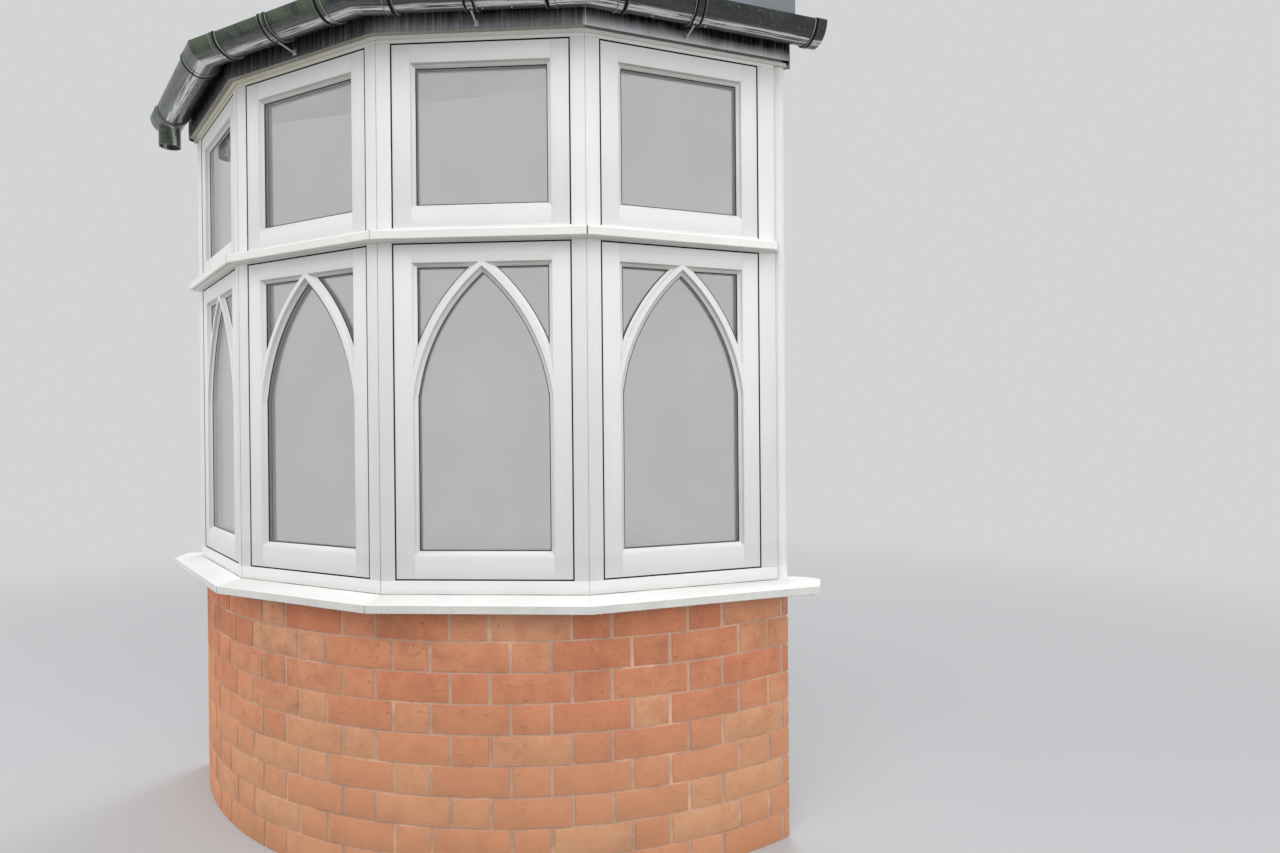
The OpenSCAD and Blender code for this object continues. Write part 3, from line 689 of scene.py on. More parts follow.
def grime_and_painted_shade(made, grime_and_shade, front, under):
    """Grime and painted shade on painted timber: light on upright faces and heavier on undersides."""
    add, clean, at = reopened(made)
    noise = add("TexNoise", {"Vector": at, "Scale": 14.0, "Detail": 5.0, "Roughness": 0.65})
    patchy = add("MapRange", (noise, 0.35, 0.68, 0.75, 1.0))
    # Painted shade, mixed with grime: upright faces and undersides darken by the way they face
    lean = add("SeparateXYZ", (add("NewGeometry", out="Normal"),), 2)
    upright = add("MapRange", (lean, 0.55, 0.0, 0.0, front))
    below = add("MapRange", (lean, 0.0, -0.7, 0.0, under))
    share = add("Math", (upright, below), operation="MAXIMUM")
    part = add("Math", (share, patchy), operation="MULTIPLY")
    return two_tone(made, part, clean, rgba(grime_and_shade))


def joinery_paint(name):
    """Satin white on frames and casements. Beige under the eaves, most on the left, as stain and painted
    shade of the eaves.
    """
    white = bpy.context.scene.bay_colours.white
    p = plan()
    made = timber_paint(name, white, 0.42)
    add, clean, at = reopened(made)
    x, _, z = add("SeparateXYZ", (at,)).node.outputs
    # Painted shade of the eaves, with stain: beige close under the fascia, most on the left
    high = p.head_z - p.j.head_h
    near = add("MapRange", (z, high - 0.006, high + 0.004))
    left = add("MapRange", (x, -0.55, 0.25, 0.85, 0.08))
    part = add("Math", (near, left), operation="MULTIPLY")
    stained = add("Mix", {0: part, 6: clean, 7: rgba("#CCC7B2")}, 2, data_type="RGBA")
    # Painted shade: the casements' bottom rails are a little greyer than the rest on their upright faces
    rail = p.frame_z + p.j.bottom_rail
    rail_top = rail + p.j.sash_bottom
    above = add("MapRange", (z, rail, rail + 0.003))
    below_rail_top = add("MapRange", (z, rail_top - 0.01, rail_top + 0.02, 1.0, 0.0))
    lean = add("SeparateXYZ", (add("NewGeometry", out="Normal"),), 2)
    upright = add("MapRange", (lean, 0.3, 0.1))
    band = add("Math", (above, below_rail_top), operation="MULTIPLY")
    dull = add("Math", (band, upright), operation="MULTIPLY")
    # Grime and painted shade grey the undersides
    return grime_and_painted_shade(two_tone(made, dull, stained, rgba(white, 0.91)), "#8F8D7E", 0.0, 0.45)


def inside_paint(name):
    """Eggshell white on the ceiling and window board, clean and soft."""
    return timber_paint(name, bpy.context.scene.bay_colours.sill, 0.5)


def sill_paint(name):
    """Gloss white on the sill, smoother and brighter than the frames, its nose darkened by stain and painted
    shade.
    """
    colours = bpy.context.scene.bay_colours
    return grime_and_painted_shade(timber_paint(name, colours.sill, 0.3), colours.grime_and_shade, 0.62, 0.9)


def drip_paint(name):
    """Gloss white on the drip, greyed below by grime and painted shade."""
    colours = bpy.context.scene.bay_colours
    return grime_and_painted_shade(timber_paint(name, colours.sill, 0.3), colours.grime_and_shade, 0.3, 0.1)


def joint_dirt_and_painted_shade(name):
    """Dirt, old sealant and painted shade in the joints between timbers. Dull brown-grey, darker in places.
    """
    made, add, at = new_material(name, 0.9)
    cloud = add("TexNoise", {"Vector": at, "Scale": 9.0, "Detail": 4.0})
    return covered(made, layered(add, rgba("#5E5C54"), rgba("#A19F97"), cloud, 0.4, 0.62))


def brick(name):
    """Pressed clay facing brick. Dry and matt, with fired mottling, dark stains and fine grit."""
    colours = bpy.context.scene.bay_colours
    orange, red, light = colours.brick_a, colours.brick_b, colours.brick_c
    made, add, at = new_material(name, 0.86)
    fired = add("ValToRGB", (add("Attribute", out="Fac", attribute_name="tone"),))
    stops = fired.node.color_ramp.elements
    stops[0].color = rgba(red)
    stops[1].color = rgba(orange, 0.93)
    for where, tint in ((0.25, rgba(orange)), (0.5, rgba(light)), (0.7, rgba(orange, 1.03)),
                        (0.86, rgba(red, 0.92))):
        stops.new(where).color = tint
    # Mottling in patches of about 60 mm, and speckle of about 4 mm
    patch = add("TexNoise", {"Vector": at, "Scale": 16.0, "Detail": 4.0})
    mottled = layered(add, fired, rgba(red, 0.8), patch, 0.42, 0.72, 0.0, 0.65)
    # Drag marks of the clay, a few millimetres high and 40 mm long
    drawn = add("Mapping", {"Vector": at, "Scale": (24, 24, 150)})
    drag = add("TexNoise", {"Vector": drawn, "Scale": 1.0, "Detail": 3.0})
    dragged = layered(add, mottled, rgba("#9C6650"), drag, 0.56, 0.7, 0.0, 0.3)
    blot = add("TexNoise", {"Vector": at, "Scale": 46.0, "Detail": 3.0, "Roughness": 0.6})
    spotted = layered(add, dragged, rgba("#8A5846"), blot, 0.62, 0.72, 0.0, 0.5)
    grit = add("TexNoise", {"Vector": at, "Scale": 260.0, "Detail": 2.0})
    specked = layered(add, spotted, rgba(light, 1.15), grit, 0.56, 0.74, 0.0, 0.5)
    soot = add("TexNoise", {"Vector": at, "Scale": 4.5, "Detail": 6.0, "Roughness": 0.65})
    stained = layered(add, specked, rgba("#7A4A3A"), soot, 0.54, 0.78, 0.0, 0.55)
    # The lower courses are paler than the ones close under the sill
    height = add("SeparateXYZ", (at,), 2)
    paled = layered(add, stained, rgba("#DAA880"), height, 0.62, 0.3, 0.0, 0.4)
    return covered(made, paled, add("Math", (grit, patch), operation="ADD"), 0.5, 0.0016)


def mortar(name):
    """Struck lime mortar, washed with brick colour. Matt and sandy."""
    lime = bpy.context.scene.bay_colours.mortar
    made, add, at = new_material(name, 0.95)
    cloud = add("TexNoise", {"Vector": at, "Scale": 9.0, "Detail": 5.0})
    base = layered(add, rgba(lime), rgba(lime, 0.7), cloud, 0.35, 0.7)
    bloom = add("TexNoise", {"Vector": at, "Scale": 6.0, "Detail": 4.0, "Roughness": 0.6})
    patchy = layered(add, base, rgba(lime, 1.3), bloom, 0.55, 0.68, 0.0, 0.85)
    sand = add("TexNoise", {"Vector": at, "Scale": 450.0, "Detail": 2.0})
    return covered(made, patchy, sand, 0.6, 0.001)


def plaster(name):
    """Emulsioned plaster inside. Matt with slight trowel marks."""
    tint = bpy.context.scene.bay_colours.plaster
    made, add, at = new_material(name, 0.8)
    cloud = add("TexNoise", {"Vector": at, "Scale": 7.0, "Detail": 5.0})
    return two_tone(made, cloud, rgba(tint), rgba(tint, 0.9), cloud, 0.3, 0.002)


def fascia_paint(name):
    """Black gloss paint on boards. Wet-looking, with pale run marks and a paler lower edge that is painted
    reflection, strongest on the right side.
    """
    black = bpy.context.scene.bay_colours.fascia
    p = plan()
    made, add, at = new_material(name, 0.28)
    x, _, z = add("SeparateXYZ", (at,)).node.outputs
    # Run marks about 5 mm wide and up to 150 mm long
    thin = add("Mapping", {"Vector": at, "Scale": (190, 190, 5)})
    marks = add("TexNoise", {"Vector": thin, "Scale": 1.0, "Detail": 4.0, "Roughness": 0.7})
    most = add("MapRange", (x, -0.03, 0.03, 0.4, 0.7))
    base = layered(add, rgba(black), rgba("#A3A2A4"), marks, 0.5, 0.72, 0.0, most)
    # Painted reflection: a paler band along the lower edge with a wavy top that falls along the right side,
    # faint on the left front, stronger on the right front and full on the right side
    wide = add("TexNoise", {"Vector": at, "Scale": 9.0, "Detail": 3.0})
    wave = add("Math", (wide, 0.05), operation="MULTIPLY")
    drop = add("MapRange", (x, p.knee.x, p.end.x, 0.0, 0.022))
    waved = add("Math", (z, wave), operation="ADD")
    height = add("Math", (waved, drop), operation="ADD")
    low = add("MapRange", (height, p.fascia_z + 0.036, p.fascia_z + 0.078, 1.0, 0.0))
    right = add("MapRange", (x, p.knee.x, p.knee.x + 0.006))
    faint = add("MapRange", (x, -0.03, 0.03, 0.04, 0.3))
    bright = add("Math", (faint, right), operation="MAXIMUM")
    part = add("Math", (low, bright), operation="MULTIPLY")
    paled = add("Mix", {0: part, 6: base, 7: rgba("#C6C6CB")}, 2, data_type="RGBA")
    # Dust and painted light: undersides turn brown-grey, pale up to the right corner and dark on the right
    # side
    lean = add("SeparateXYZ", (add("NewGeometry", out="Normal"),), 2)
    dust_and_painted_light = add("Mix", {0: right, 6: rgba("#9A968A"), 7: rgba("#45433E")}, 2, data_type="RGBA")
    with_dust_and_painted_light = layered(add, paled, dust_and_painted_light, lean, -0.3, -0.8, 0.0, 0.9)
    rough = add("MapRange", (marks, 0.3, 0.8, 0.2, 0.5))
    return covered(made, with_dust_and_painted_light, marks, 0.25, 0.0005, rough)


def gutter_plastic(name):
    """Black extruded plastic. Dull green growth on its front, and low down grey and bright streaks that are
    painted reflection.
    """
    colours = bpy.context.scene.bay_colours
    made, add, at = new_material(name, 0.12)
    x = add("SeparateXYZ", (at,))
    facing = add("NewGeometry", out="Normal")
    # 1 on the gutter's front, 0 at its lowest line and below 0 on the side of the fascia
    front = add("VectorMath", (facing, (0.0, -1.0, 0.0)), "Value", operation="DOT_PRODUCT")
    # Streaks run along the gutter: the noise is read by place along it and by facing round it
    round_it = add("VectorMath", (facing, (0.0, 13.0, 13.0)), operation="MULTIPLY")
    along = add("CombineXYZ", (add("Math", (x, 7.0), operation="MULTIPLY"),))
    spot = add("VectorMath", (round_it, along), operation="ADD")
    streak = add("TexNoise", {"Vector": spot, "Scale": 1.0, "Detail": 5.0, "Roughness": 0.65})
    left = add("MapRange", (x, -0.2, 0.5, 1.0, 0.25))
    # Painted sheen: grey streaks low on the front, most on the left, stand for the sky's reflection
    painted_sheen_band = add("MapRange", (front, 0.8, 0.45))
    grey_part = add("MapRange", (streak, 0.36, 0.6, 0.2, 1.0))
    grey_streak = add("Math", (painted_sheen_band, grey_part), operation="MULTIPLY")
    grey = add("Math", (grey_streak, left), operation="MULTIPLY")
    paled = add("Mix", {0: grey, 6: rgba(colours.gutter), 7: rgba("#7F8580")}, 2, data_type="RGBA")
    # Painted reflection: a broken bright band low on the front stands for the ground mirrored in the plastic
    rise = add("MapRange", (front, 0.04, 0.12))
    fall = add("MapRange", (front, 0.46, 0.36))
    broken = add("MapRange", (streak, 0.42, 0.52))
    band = add("Math", (rise, fall), operation="MULTIPLY")
    bright = add("Math", (band, broken), operation="MULTIPLY")
    wet = add("Mix", {0: bright, 6: paled, 7: rgba("#E6E8E6")}, 2, data_type="RGBA")
    growth = add("TexNoise", {"Vector": at, "Scale": 9.0, "Detail": 7.0, "Roughness": 0.7})
    high = add("MapRange", (front, 0.45, 0.9, -0.2, 0.06))
    reach = add("Math", (growth, high), operation="ADD")
    patches = add("MapRange", (reach, 0.4, 0.6, 0.0, 0.92))
    green = add("Math", (patches, left), operation="MULTIPLY")
    mossy = add("Mix", {0: green, 6: wet, 7: rgba(colours.moss)}, 2, data_type="RGBA")
    dust_and_painted_light = add("TexNoise", {"Vector": at, "Scale": 90.0, "Detail": 5.0, "Roughness": 0.7})
    with_dust_and_painted_light = layered(add, mossy, rgba("#8A8D82"), dust_and_painted_light, 0.58, 0.76, 0.0, 0.6)
    final = layered(add, with_dust_and_painted_light, rgba("#3B3832"), front, 0.04, -0.2, 0.0, 0.85)
    rough = add("MapRange", (green, 0.0, 0.9, 0.06, 0.45))
    lumpy = add("Math", (dust_and_painted_light, green), operation="MULTIPLY")
    return covered(made, final, lumpy, 0.4, 0.0007, rough)


def worn_plastic(name):
    """Rubbed edges of the gutter's fittings. Pale grey plastic, smooth and wet."""
    made, add, at = new_material(name, 0.15)
    wear = add("TexNoise", {"Vector": at, "Scale": 30.0, "Detail": 3.0})
    return two_tone(made, wear, rgba("#5E645E"), rgba("#A0A59E"))


def rubber(name):
    """Moulded rubber seal. Deep black and dull."""
    made, add, at = new_material(name, 0.75, Specular_IOR_Level=0.2)
    grey = add("TexNoise", {"Vector": at, "Scale": 120.0, "Detail": 2.0})
    return two_tone(made, grey, rgba("#080808"), rgba("#121312"))


def steel(name):
    """Galvanised steel rod and screws. Dull silver with spangle."""
    made, add, at = new_material(name, 0.38, Metallic=0.5)
    spangle = add("TexVoronoi", {"Vector": at, "Scale": 220.0}, "Distance")
    return two_tone(made, spangle, rgba("#DADDDE"), rgba("#B4B8BA"))


def slate(name):
    """Riven roofing slate. Low sheen, layered edges, tone changing from slate to slate."""
    tint = bpy.context.scene.bay_colours.slate
    made, add, at = new_material(name, 0.55)
    tone = add("Attribute", out="Fac", attribute_name="tone")
    base = add("Mix", {0: tone, 6: rgba(tint, 0.8), 7: rgba(tint, 1.25)}, 2, data_type="RGBA")
    cloud = add("TexNoise", {"Vector": at, "Scale": 11.0, "Detail": 6.0})
    lichen = layered(add, base, rgba("#6F7264"), cloud, 0.45, 0.75, 0.0, 0.5)
    stretched = add("Mapping", {"Vector": at, "Scale": (40, 40, 120)})
    riven = add("TexNoise", {"Vector": stretched, "Scale": 1.0, "Detail": 5.0})
    return covered(made, lichen, riven, 0.5, 0.0015)


def lead(name):
    """Weathered milled sheet lead, dressed by hand. Grey patina with dull beaten highlights."""
    tint = bpy.context.scene.bay_colours.lead
    made, add, at = new_material(name, 0.5, Metallic=0.6)
    cloud = add("TexNoise", {"Vector": at, "Scale": 14.0, "Detail": 6.0})
    beaten = add("TexVoronoi", {"Vector": at, "Scale": 38.0}, "Distance", feature="SMOOTH_F1")
    return two_tone(made, cloud, rgba(tint, 0.75), rgba(tint, 1.3), beaten, 0.3, 0.003)


def softwood(name):
    """Sawn softwood. Pale, dry and fuzzy, with growth rings drawn out along the board."""
    tint = bpy.context.scene.bay_colours.timber
    made, add, at = new_material(name, 0.75)
    drawn = add("Mapping", {"Vector": at, "Scale": (22, 4, 90)})
    rings = add("TexNoise", {"Vector": drawn, "Scale": 1.0, "Detail": 5.0, "Distortion": 0.6})
    grown_wood = layered(add, rgba(tint, 1.1), rgba(tint, 0.62), rings, 0.35, 0.68)
    return covered(made, grown_wood, rings, 0.4, 0.0012)


def glass(name):
    """Float glass of a sealed unit. Clear with a faint grey cast, smooth, with sharp reflections."""
    tint = bpy.context.scene.bay_colours.glass
    made, add, at = new_material(name, 0.01, IOR=1.52, Transmission_Weight=0.97)
    film = add("TexNoise", {"Vector": at, "Scale": 3.0, "Detail": 4.0})
    return two_tone(made, film, rgba(tint), rgba(tint, 0.9))


def spacer_bar(name):
    """Spacer bar inside the glass unit. Matt grey metal with fine perforations."""
    made, add, at = new_material(name, 0.5)
    dots = add("TexVoronoi", {"Vector": at, "Scale": 300.0}, "Distance")
    return two_tone(made, dots, rgba("#BCBEBE"), rgba("#D2D3D2"))


def rain_water(name):
    """Rain water in small drops. Half clear and bright-edged; the pale colour is painted light for the
    bright sky they refract.
    """
    made, add, at = new_material(name, 0.05, IOR=1.33, Transmission_Weight=0.45)
    cloud = add("TexNoise", {"Vector": at, "Scale": 200.0})
    return two_tone(made, cloud, rgba("#EEF0F0"), rgba("#D6D9DA"))


def coated_metal(name):
    """White powder-coated handle metal. Even satin with a fine orange-peel texture."""
    made, add, at = new_material(name, 0.35)
    peel = add("TexNoise", {"Vector": at, "Scale": 500.0, "Detail": 1.0})
    return two_tone(made, peel, rgba("#DEDEDB"), rgba("#D2D2CF"), peel, 0.2, 0.0003)


FINISHES = {
    "satin_paint_on_joinery": joinery_paint,
    "gloss_paint_on_sill": sill_paint,
    "gloss_paint_on_drip": drip_paint,
    "eggshell_paint_inside": inside_paint,
    "dirt_in_timber_joints": joint_dirt_and_painted_shade,
    "facing_brick": brick,
    "lime_mortar": mortar,
    "painted_plaster": plaster,
    "black_gloss_on_boards": fascia_paint,
    "weathered_gutter_plastic": gutter_plastic,
    "worn_plastic_edges": worn_plastic,
    "moulded_rubber_seal": rubber,
    "gutter_seal_rubber": rubber,
    "galvanised_steel": steel,
    "riven_slate": slate,
    "weathered_sheet_lead": lead,
    "sawn_softwood": softwood,
    "float_glass": glass,
    "spacer_bar": spacer_bar,
    "rain_water": rain_water,
    "coated_handle_metal": coated_metal,
}


def found(name):
    """The named finish, made the first time it is asked for."""
    return bpy.data.materials.get(name) or FINISHES[name](name)


# Pieces


class BAY_OT_brickwork(bpy.types.Operator):
    """Curved brick apron in Flemish bond, with its mortar and inside plaster"""
    bl_idname = "bay.brickwork"
    bl_label = "Brickwork"

    def brick(self, name, size, depth):
        """One brick, its face at y = 0, with worn edges and cuts enough to bend."""
        b = bpy.context.scene.bay_brick
        height = (b.course_h - b.bed) / 2
        made = block((-size / 2, 0.0, -height), (size / 2, depth, height))
        slice_w, wear = 0.045, 0.0022
        steps = max(2, round(size / slice_w))
        slices = [(X * (-size / 2 + size * i / steps), X) for i in range(1, steps)]
        for at, across in slices + [(Z * 0, Z)]:
            bmesh.ops.bisect_plane(made, geom=made.verts[:] + made.edges[:] + made.faces[:],
                                   dist=1e-6, plane_co=at, plane_no=across)
        front = [e for e in made.edges if all(v.co.y < 1e-6 for v in e.verts)
                 and e.calc_face_angle(0.0) > 1.0]
        ends = [e for e in made.edges if e.calc_face_angle(0.0) > 1.0 and e not in front
                and min(v.co.y for v in e.verts) < 1e-6]
        bmesh.ops.bevel(made, geom=front + ends, offset=wear, segments=2, profile=0.6, affect="EDGES")
        return template(name, made)

    def wall(self, p, outer, inner, end_y):
        """Curved slab up to the sill, that ends on a plane parallel to the wall plane."""
        count = 160
        spare = 0.06
        across = math.sqrt(outer ** 2 - (p.apron_y - end_y) ** 2)
        angle = math.asin(min(0.999, across / outer)) + spare
        ring = [-angle + 2 * angle * i / count for i in range(count + 1)]
        outline = [(outer * math.sin(a), p.apron_y - outer * math.cos(a)) for a in ring]
        outline += [(inner * math.sin(a), p.apron_y - inner * math.cos(a)) for a in reversed(ring)]
        made = bmesh.new()
        low, high = ([made.verts.new((x, y, z)) for x, y in outline] for z in (0.0, p.p.seat_z))
        total = len(outline)
        for i in range(total):
            after = (i + 1) % total
            made.faces.new((low[i], low[after], high[after], high[i]))
        for i in range(count):
            for level in (low, high):
                made.faces.new((level[i], level[i + 1], level[total - 2 - i], level[total - 1 - i]))
        bmesh.ops.recalc_face_normals(made, faces=made.faces)
        return cut(made, [(Y * end_y, Y)])

    def execute(self, context):
        p = plan()
        b = p.b
        half_wall, clear_of_plaster, clear_of_wall = 0.102, 0.004, 0.0015
        stretcher = self.brick("stretcher", b.stretcher, half_wall)
        header = self.brick("header", b.header, b.thickness - b.plaster_t - clear_of_plaster)
        spacing = (b.stretcher + b.header) / 2 + b.perpend
        arch = 2 * p.apron_r * math.acos((p.apron_y - p.wall) / p.apron_r)
        per = 2 * math.ceil(arch / spacing / 2) + 3
        bricks = grown(bond_tree(), {
            "Radius": p.apron_r, "Centre": p.apron_y, "Course height": b.course_h, "Spacing": spacing,
            "Shift": b.shift, "Courses": b.courses, "Bricks in a course": per, "Unevenness": 0.0009,
            "Seed": 7, "Stretcher": stretcher, "Header": header, "Material": found("facing_brick"),
        })
        discard(stretcher, header)
        cut(bricks, [(Y * p.wall, Y)])
        dress(mesh_object("apron_bricks", bricks), ["facing_brick"], ["brick_apron"], 35.0)
        inner = p.apron_r - b.thickness
        middle = inner + b.plaster_t
        face = p.apron_r - b.joint_depth
        for name, finish, slab in (
                ("apron_mortar", "lime_mortar", (face, middle, p.wall - clear_of_wall)),
                ("apron_plaster", "painted_plaster", (middle, inner, p.wall))):
            piece = Piece(name)
            piece.add(self.wall(p, *slab))
            piece.finish([finish], ["brick_apron"], "brickwork")
        return {"FINISHED"}


class BAY_OT_sill(bpy.types.Operator):
    """Sloping timber sill with its drip groove, and the rain hanging from its nose"""
    bl_idname = "bay.sill"
    bl_label = "Sill"

    def execute(self, context):
        p = plan()
        j = p.j
        z = p.frame_z
        high = z - j.sill_fall
        low = high - j.sill_nose
        nose = -j.sill_proj
        groove = nose + 0.014
        groove_end = groove + 0.007
        groove_top = low + 0.005
        section = [
            (j.frame_d, low), (j.frame_d, z), (0.0, z), (nose + 0.001, high + 0.0002),
            (nose, high - 0.0008), (nose, low + 0.001), (nose + 0.001, low),
            (groove, low), (groove, groove_top), (groove_end, groove_top), (groove_end, low),
        ]
        reach = p.end.x + j.sill_horn
        for k, side in enumerate(SIDE_NAMES):
            piece = Piece("timber_sill_" + side, k)
            piece.add(run_along(p, k, section, reach=reach, round_to=j.arris), run=1.0)
            piece.finish(["gloss_paint_on_sill"], ["sill_" + side], "painted_sill")
        hang_drops(p, "sill_drops", nose + 0.004, low - 0.0005, reach, step=0.013, share=0.7)
        return {"FINISHED"}


def droplet(name, radius, segments, rings, height, sink=0.0):
    """Template of a water drop: a ball made taller or flatter and moved down."""
    drop = bmesh.new()
    bmesh.ops.create_uvsphere(drop, u_segments=segments, v_segments=rings, radius=radius)
    for v in drop.verts:
        v.co.z = v.co.z * height - sink
    return template(name, drop)


def hang_drops(p, name, y, z, reach, step, share, radius=0.0023):
    """A row of hanging drops under an edge, along all four sides."""
    source = droplet("drop", radius, segments=8, rings=6, height=1.15, sink=radius * 0.6)
    tree = drops_tree()
    first, clear_of_end, clear_of_corners = 0.012, 0.01, 0.03
    drops = bmesh.new()
    for k in range(4):
        at = place(p, k)
        start = at @ Vector((first, y, z))
        span = p.p.facet_w - clear_of_corners
        if is_side(k):
            span = (reach - start.x) / math.cos(p.side) - clear_of_end
        join(drops, mirrored(grown(tree, {
            "Start": start, "Step": at.to_3x3() @ (X * step), "Count": int(span / step), "Share": share,
            "Seed": 11 + k, "Drop": source, "Material": found("rain_water"),
        }), k))
    discard(source)
    dress(mesh_object(name, drops), ["rain_water"], (), 80.0)


def far_jamb(p, k):
    """Width of side k's outer jamb: the one at the wall plane is wider."""
    return p.j.end_jamb_w if is_side(k) else p.j.jamb_w


def surround(low, high, width):
    """Corners of the bars inside a box's outline, seen from the front: left, right, bottom, top."""
    (x0, y0, z0), (x1, y1, z1) = low, high
    return (
        ((x0, y0, z0), (x0 + width, y1, z1)), ((x1 - width, y0, z0), (x1, y1, z1)),
        ((x0 + width, y0, z0), (x1 - width, y1, z0 + width)),
        ((x0 + width, y0, z1 - width), (x1 - width, y1, z1)),
    )


class BAY_OT_frames(bpy.types.Operator):
    """Four window frames: jambs, bottom rail, transom and head, rebated for the casements"""
    bl_idname = "bay.frames"
    bl_label = "Window frames"

    def execute(self, context):
        p = plan()
        j = p.j
        width = p.p.facet_w
        depth, stop, near = j.frame_d, p.stop_y, j.jamb_w
        foot, head = p.frame_z + j.bottom_rail, p.head_z - j.head_h
        for k, side in enumerate(SIDE_NAMES):
            piece = Piece("timber_frame_" + side, 20 + k)
            far = width - far_jamb(p, k)
            end = width if is_side(k) else FAR
            near_stop, far_stop = near + j.stop_w, far - j.stop_w
            jambs = (
                [(-FAR, 0), (near, 0), (near, stop), (near_stop, stop), (near_stop, depth), (-FAR, depth)],
                [(far, 0), (end, 0), (end, depth), (far_stop, depth), (far_stop, stop), (far, stop)],
            )
            for outline in jambs:
                piece.add(run_along(p, k, outline, foot, head, round_to=j.arris, axis="Z"), run=0.0)
            rails = (
                (p.frame_z, foot, False, True, -FAR, end),
                (head, p.head_z, True, False, -FAR, end),
                (p.transom_z, p.upper_z, True, True, near, far),
            )
            for low, high, below, above, x0, x1 in rails:
                upper, lower = [(depth, high)], [(depth, low)]
                if above:
                    upper = [(stop, high), (stop, high + j.stop_w), (depth, high + j.stop_w)]
                if below:
                    lower = [(depth, low - j.stop_w), (stop, low - j.stop_w), (stop, low)]
                section = [(0, low), (0, high)] + upper + lower
                piece.add(run_along(p, k, section, x0, x1, round_to=j.arris), run=1.0)
            piece.finish(["satin_paint_on_joinery"], ["frame_" + side], "white_paint")
        self.seals(p)
        return {"FINISHED"}

    def seals(self, p):
        """Black weather seals in the gap round each casement and fanlight, white under the fanlights. Their
        lap onto the casements is painted shade of the gap.
        """
        j = p.j
        piece = Piece("casement_weather_seals", 39)
        # The seals lap onto the casement's face as painted shade that widens the dark gap line
        lap, lip, seal_d = 0.0012, 0.0004, 0.008
        gap = j.sash_gap + lap
        y0, y1 = j.sash_set - lip, j.sash_set + seal_d
        for k in range(4):
            x0, x1 = j.jamb_w, p.p.facet_w - far_jamb(p, k)
            for z0, z1 in ((p.transom_z - j.lower_light, p.transom_z), (p.upper_z, p.upper_z + p.upper_h)):
                left, right, bottom, top = surround((x0, y0, z0), (x1, y1, z1), gap)
                for bar, material in ((left, 0), (right, 0), (top, 0), (bottom, int(z0 > p.transom_z))):
                    piece.lay(block(*bar), p, k, run=1.0, material=material)
        piece.finish(["moulded_rubber_seal", "satin_paint_on_joinery"], (), "gutter_plastic")


# The bevel is steeper beside the face than beside the glass: where the two slopes meet
BREAK_ACROSS = 0.28
BREAK_DEEP = 0.58


def rail_section(near, far, glass_y, back, bevel, set_back, groove, unit_t):
    """Section of a stile or rail: near is its outer edge, far its edge at the glass opening.

    Given as (across, depth): plain outside, bevelled to the glass, grooved for the glass unit.
    """
    way = 1 if far > near else -1
    lip = far + way * bevel
    inside = lip - way * groove
    ridge = (far + way * bevel * BREAK_ACROSS, set_back + (glass_y - set_back) * BREAK_DEEP)
    return [
        (near, set_back), (far, set_back), ridge, (lip, glass_y), (inside, glass_y),
        (inside, glass_y + unit_t), (lip, glass_y + unit_t), (lip, back), (near, back),
    ]


ARC_STEPS = 72
ARC_SWEEP = 58


def arch_halves(p, x0, x1, top, section):
    """Both halves of the pointed arch. The section is (outwards from the inner edge, depth)."""
    j = p.j
    radius = j.arch_ratio * (x1 - x0)
    reach = radius * math.cos(j.arch_lean)
    level = top - j.crown_gap - math.sqrt(radius ** 2 - (reach - (x1 - x0) / 2) ** 2)
    total = len(section)
    halves = []
    for centre, way in ((x0 + reach, -1), (x1 - reach, 1)):
        made = bmesh.new()
        rings = []
        for i in range(ARC_STEPS + 1):
            angle = math.radians(ARC_SWEEP * i / ARC_STEPS)
            rings.append([made.verts.new((centre + way * (radius + out) * math.cos(angle), depth,
                                          level + (radius + out) * math.sin(angle)))
                          for out, depth in section])
        for a, b in zip(rings, rings[1:]):
            for i in range(total):
                made.faces.new((a[i], a[(i + 1) % total], b[(i + 1) % total], b[i]))
        made.faces.new(rings[0])
        made.faces.new(rings[-1])
        bmesh.ops.recalc_face_normals(made, faces=made.faces)
        halves.append(cut(made, [(X * ((x0 + x1) / 2), X * -way), (Z * (top + j.bevel_w), Z)]))
    return halves


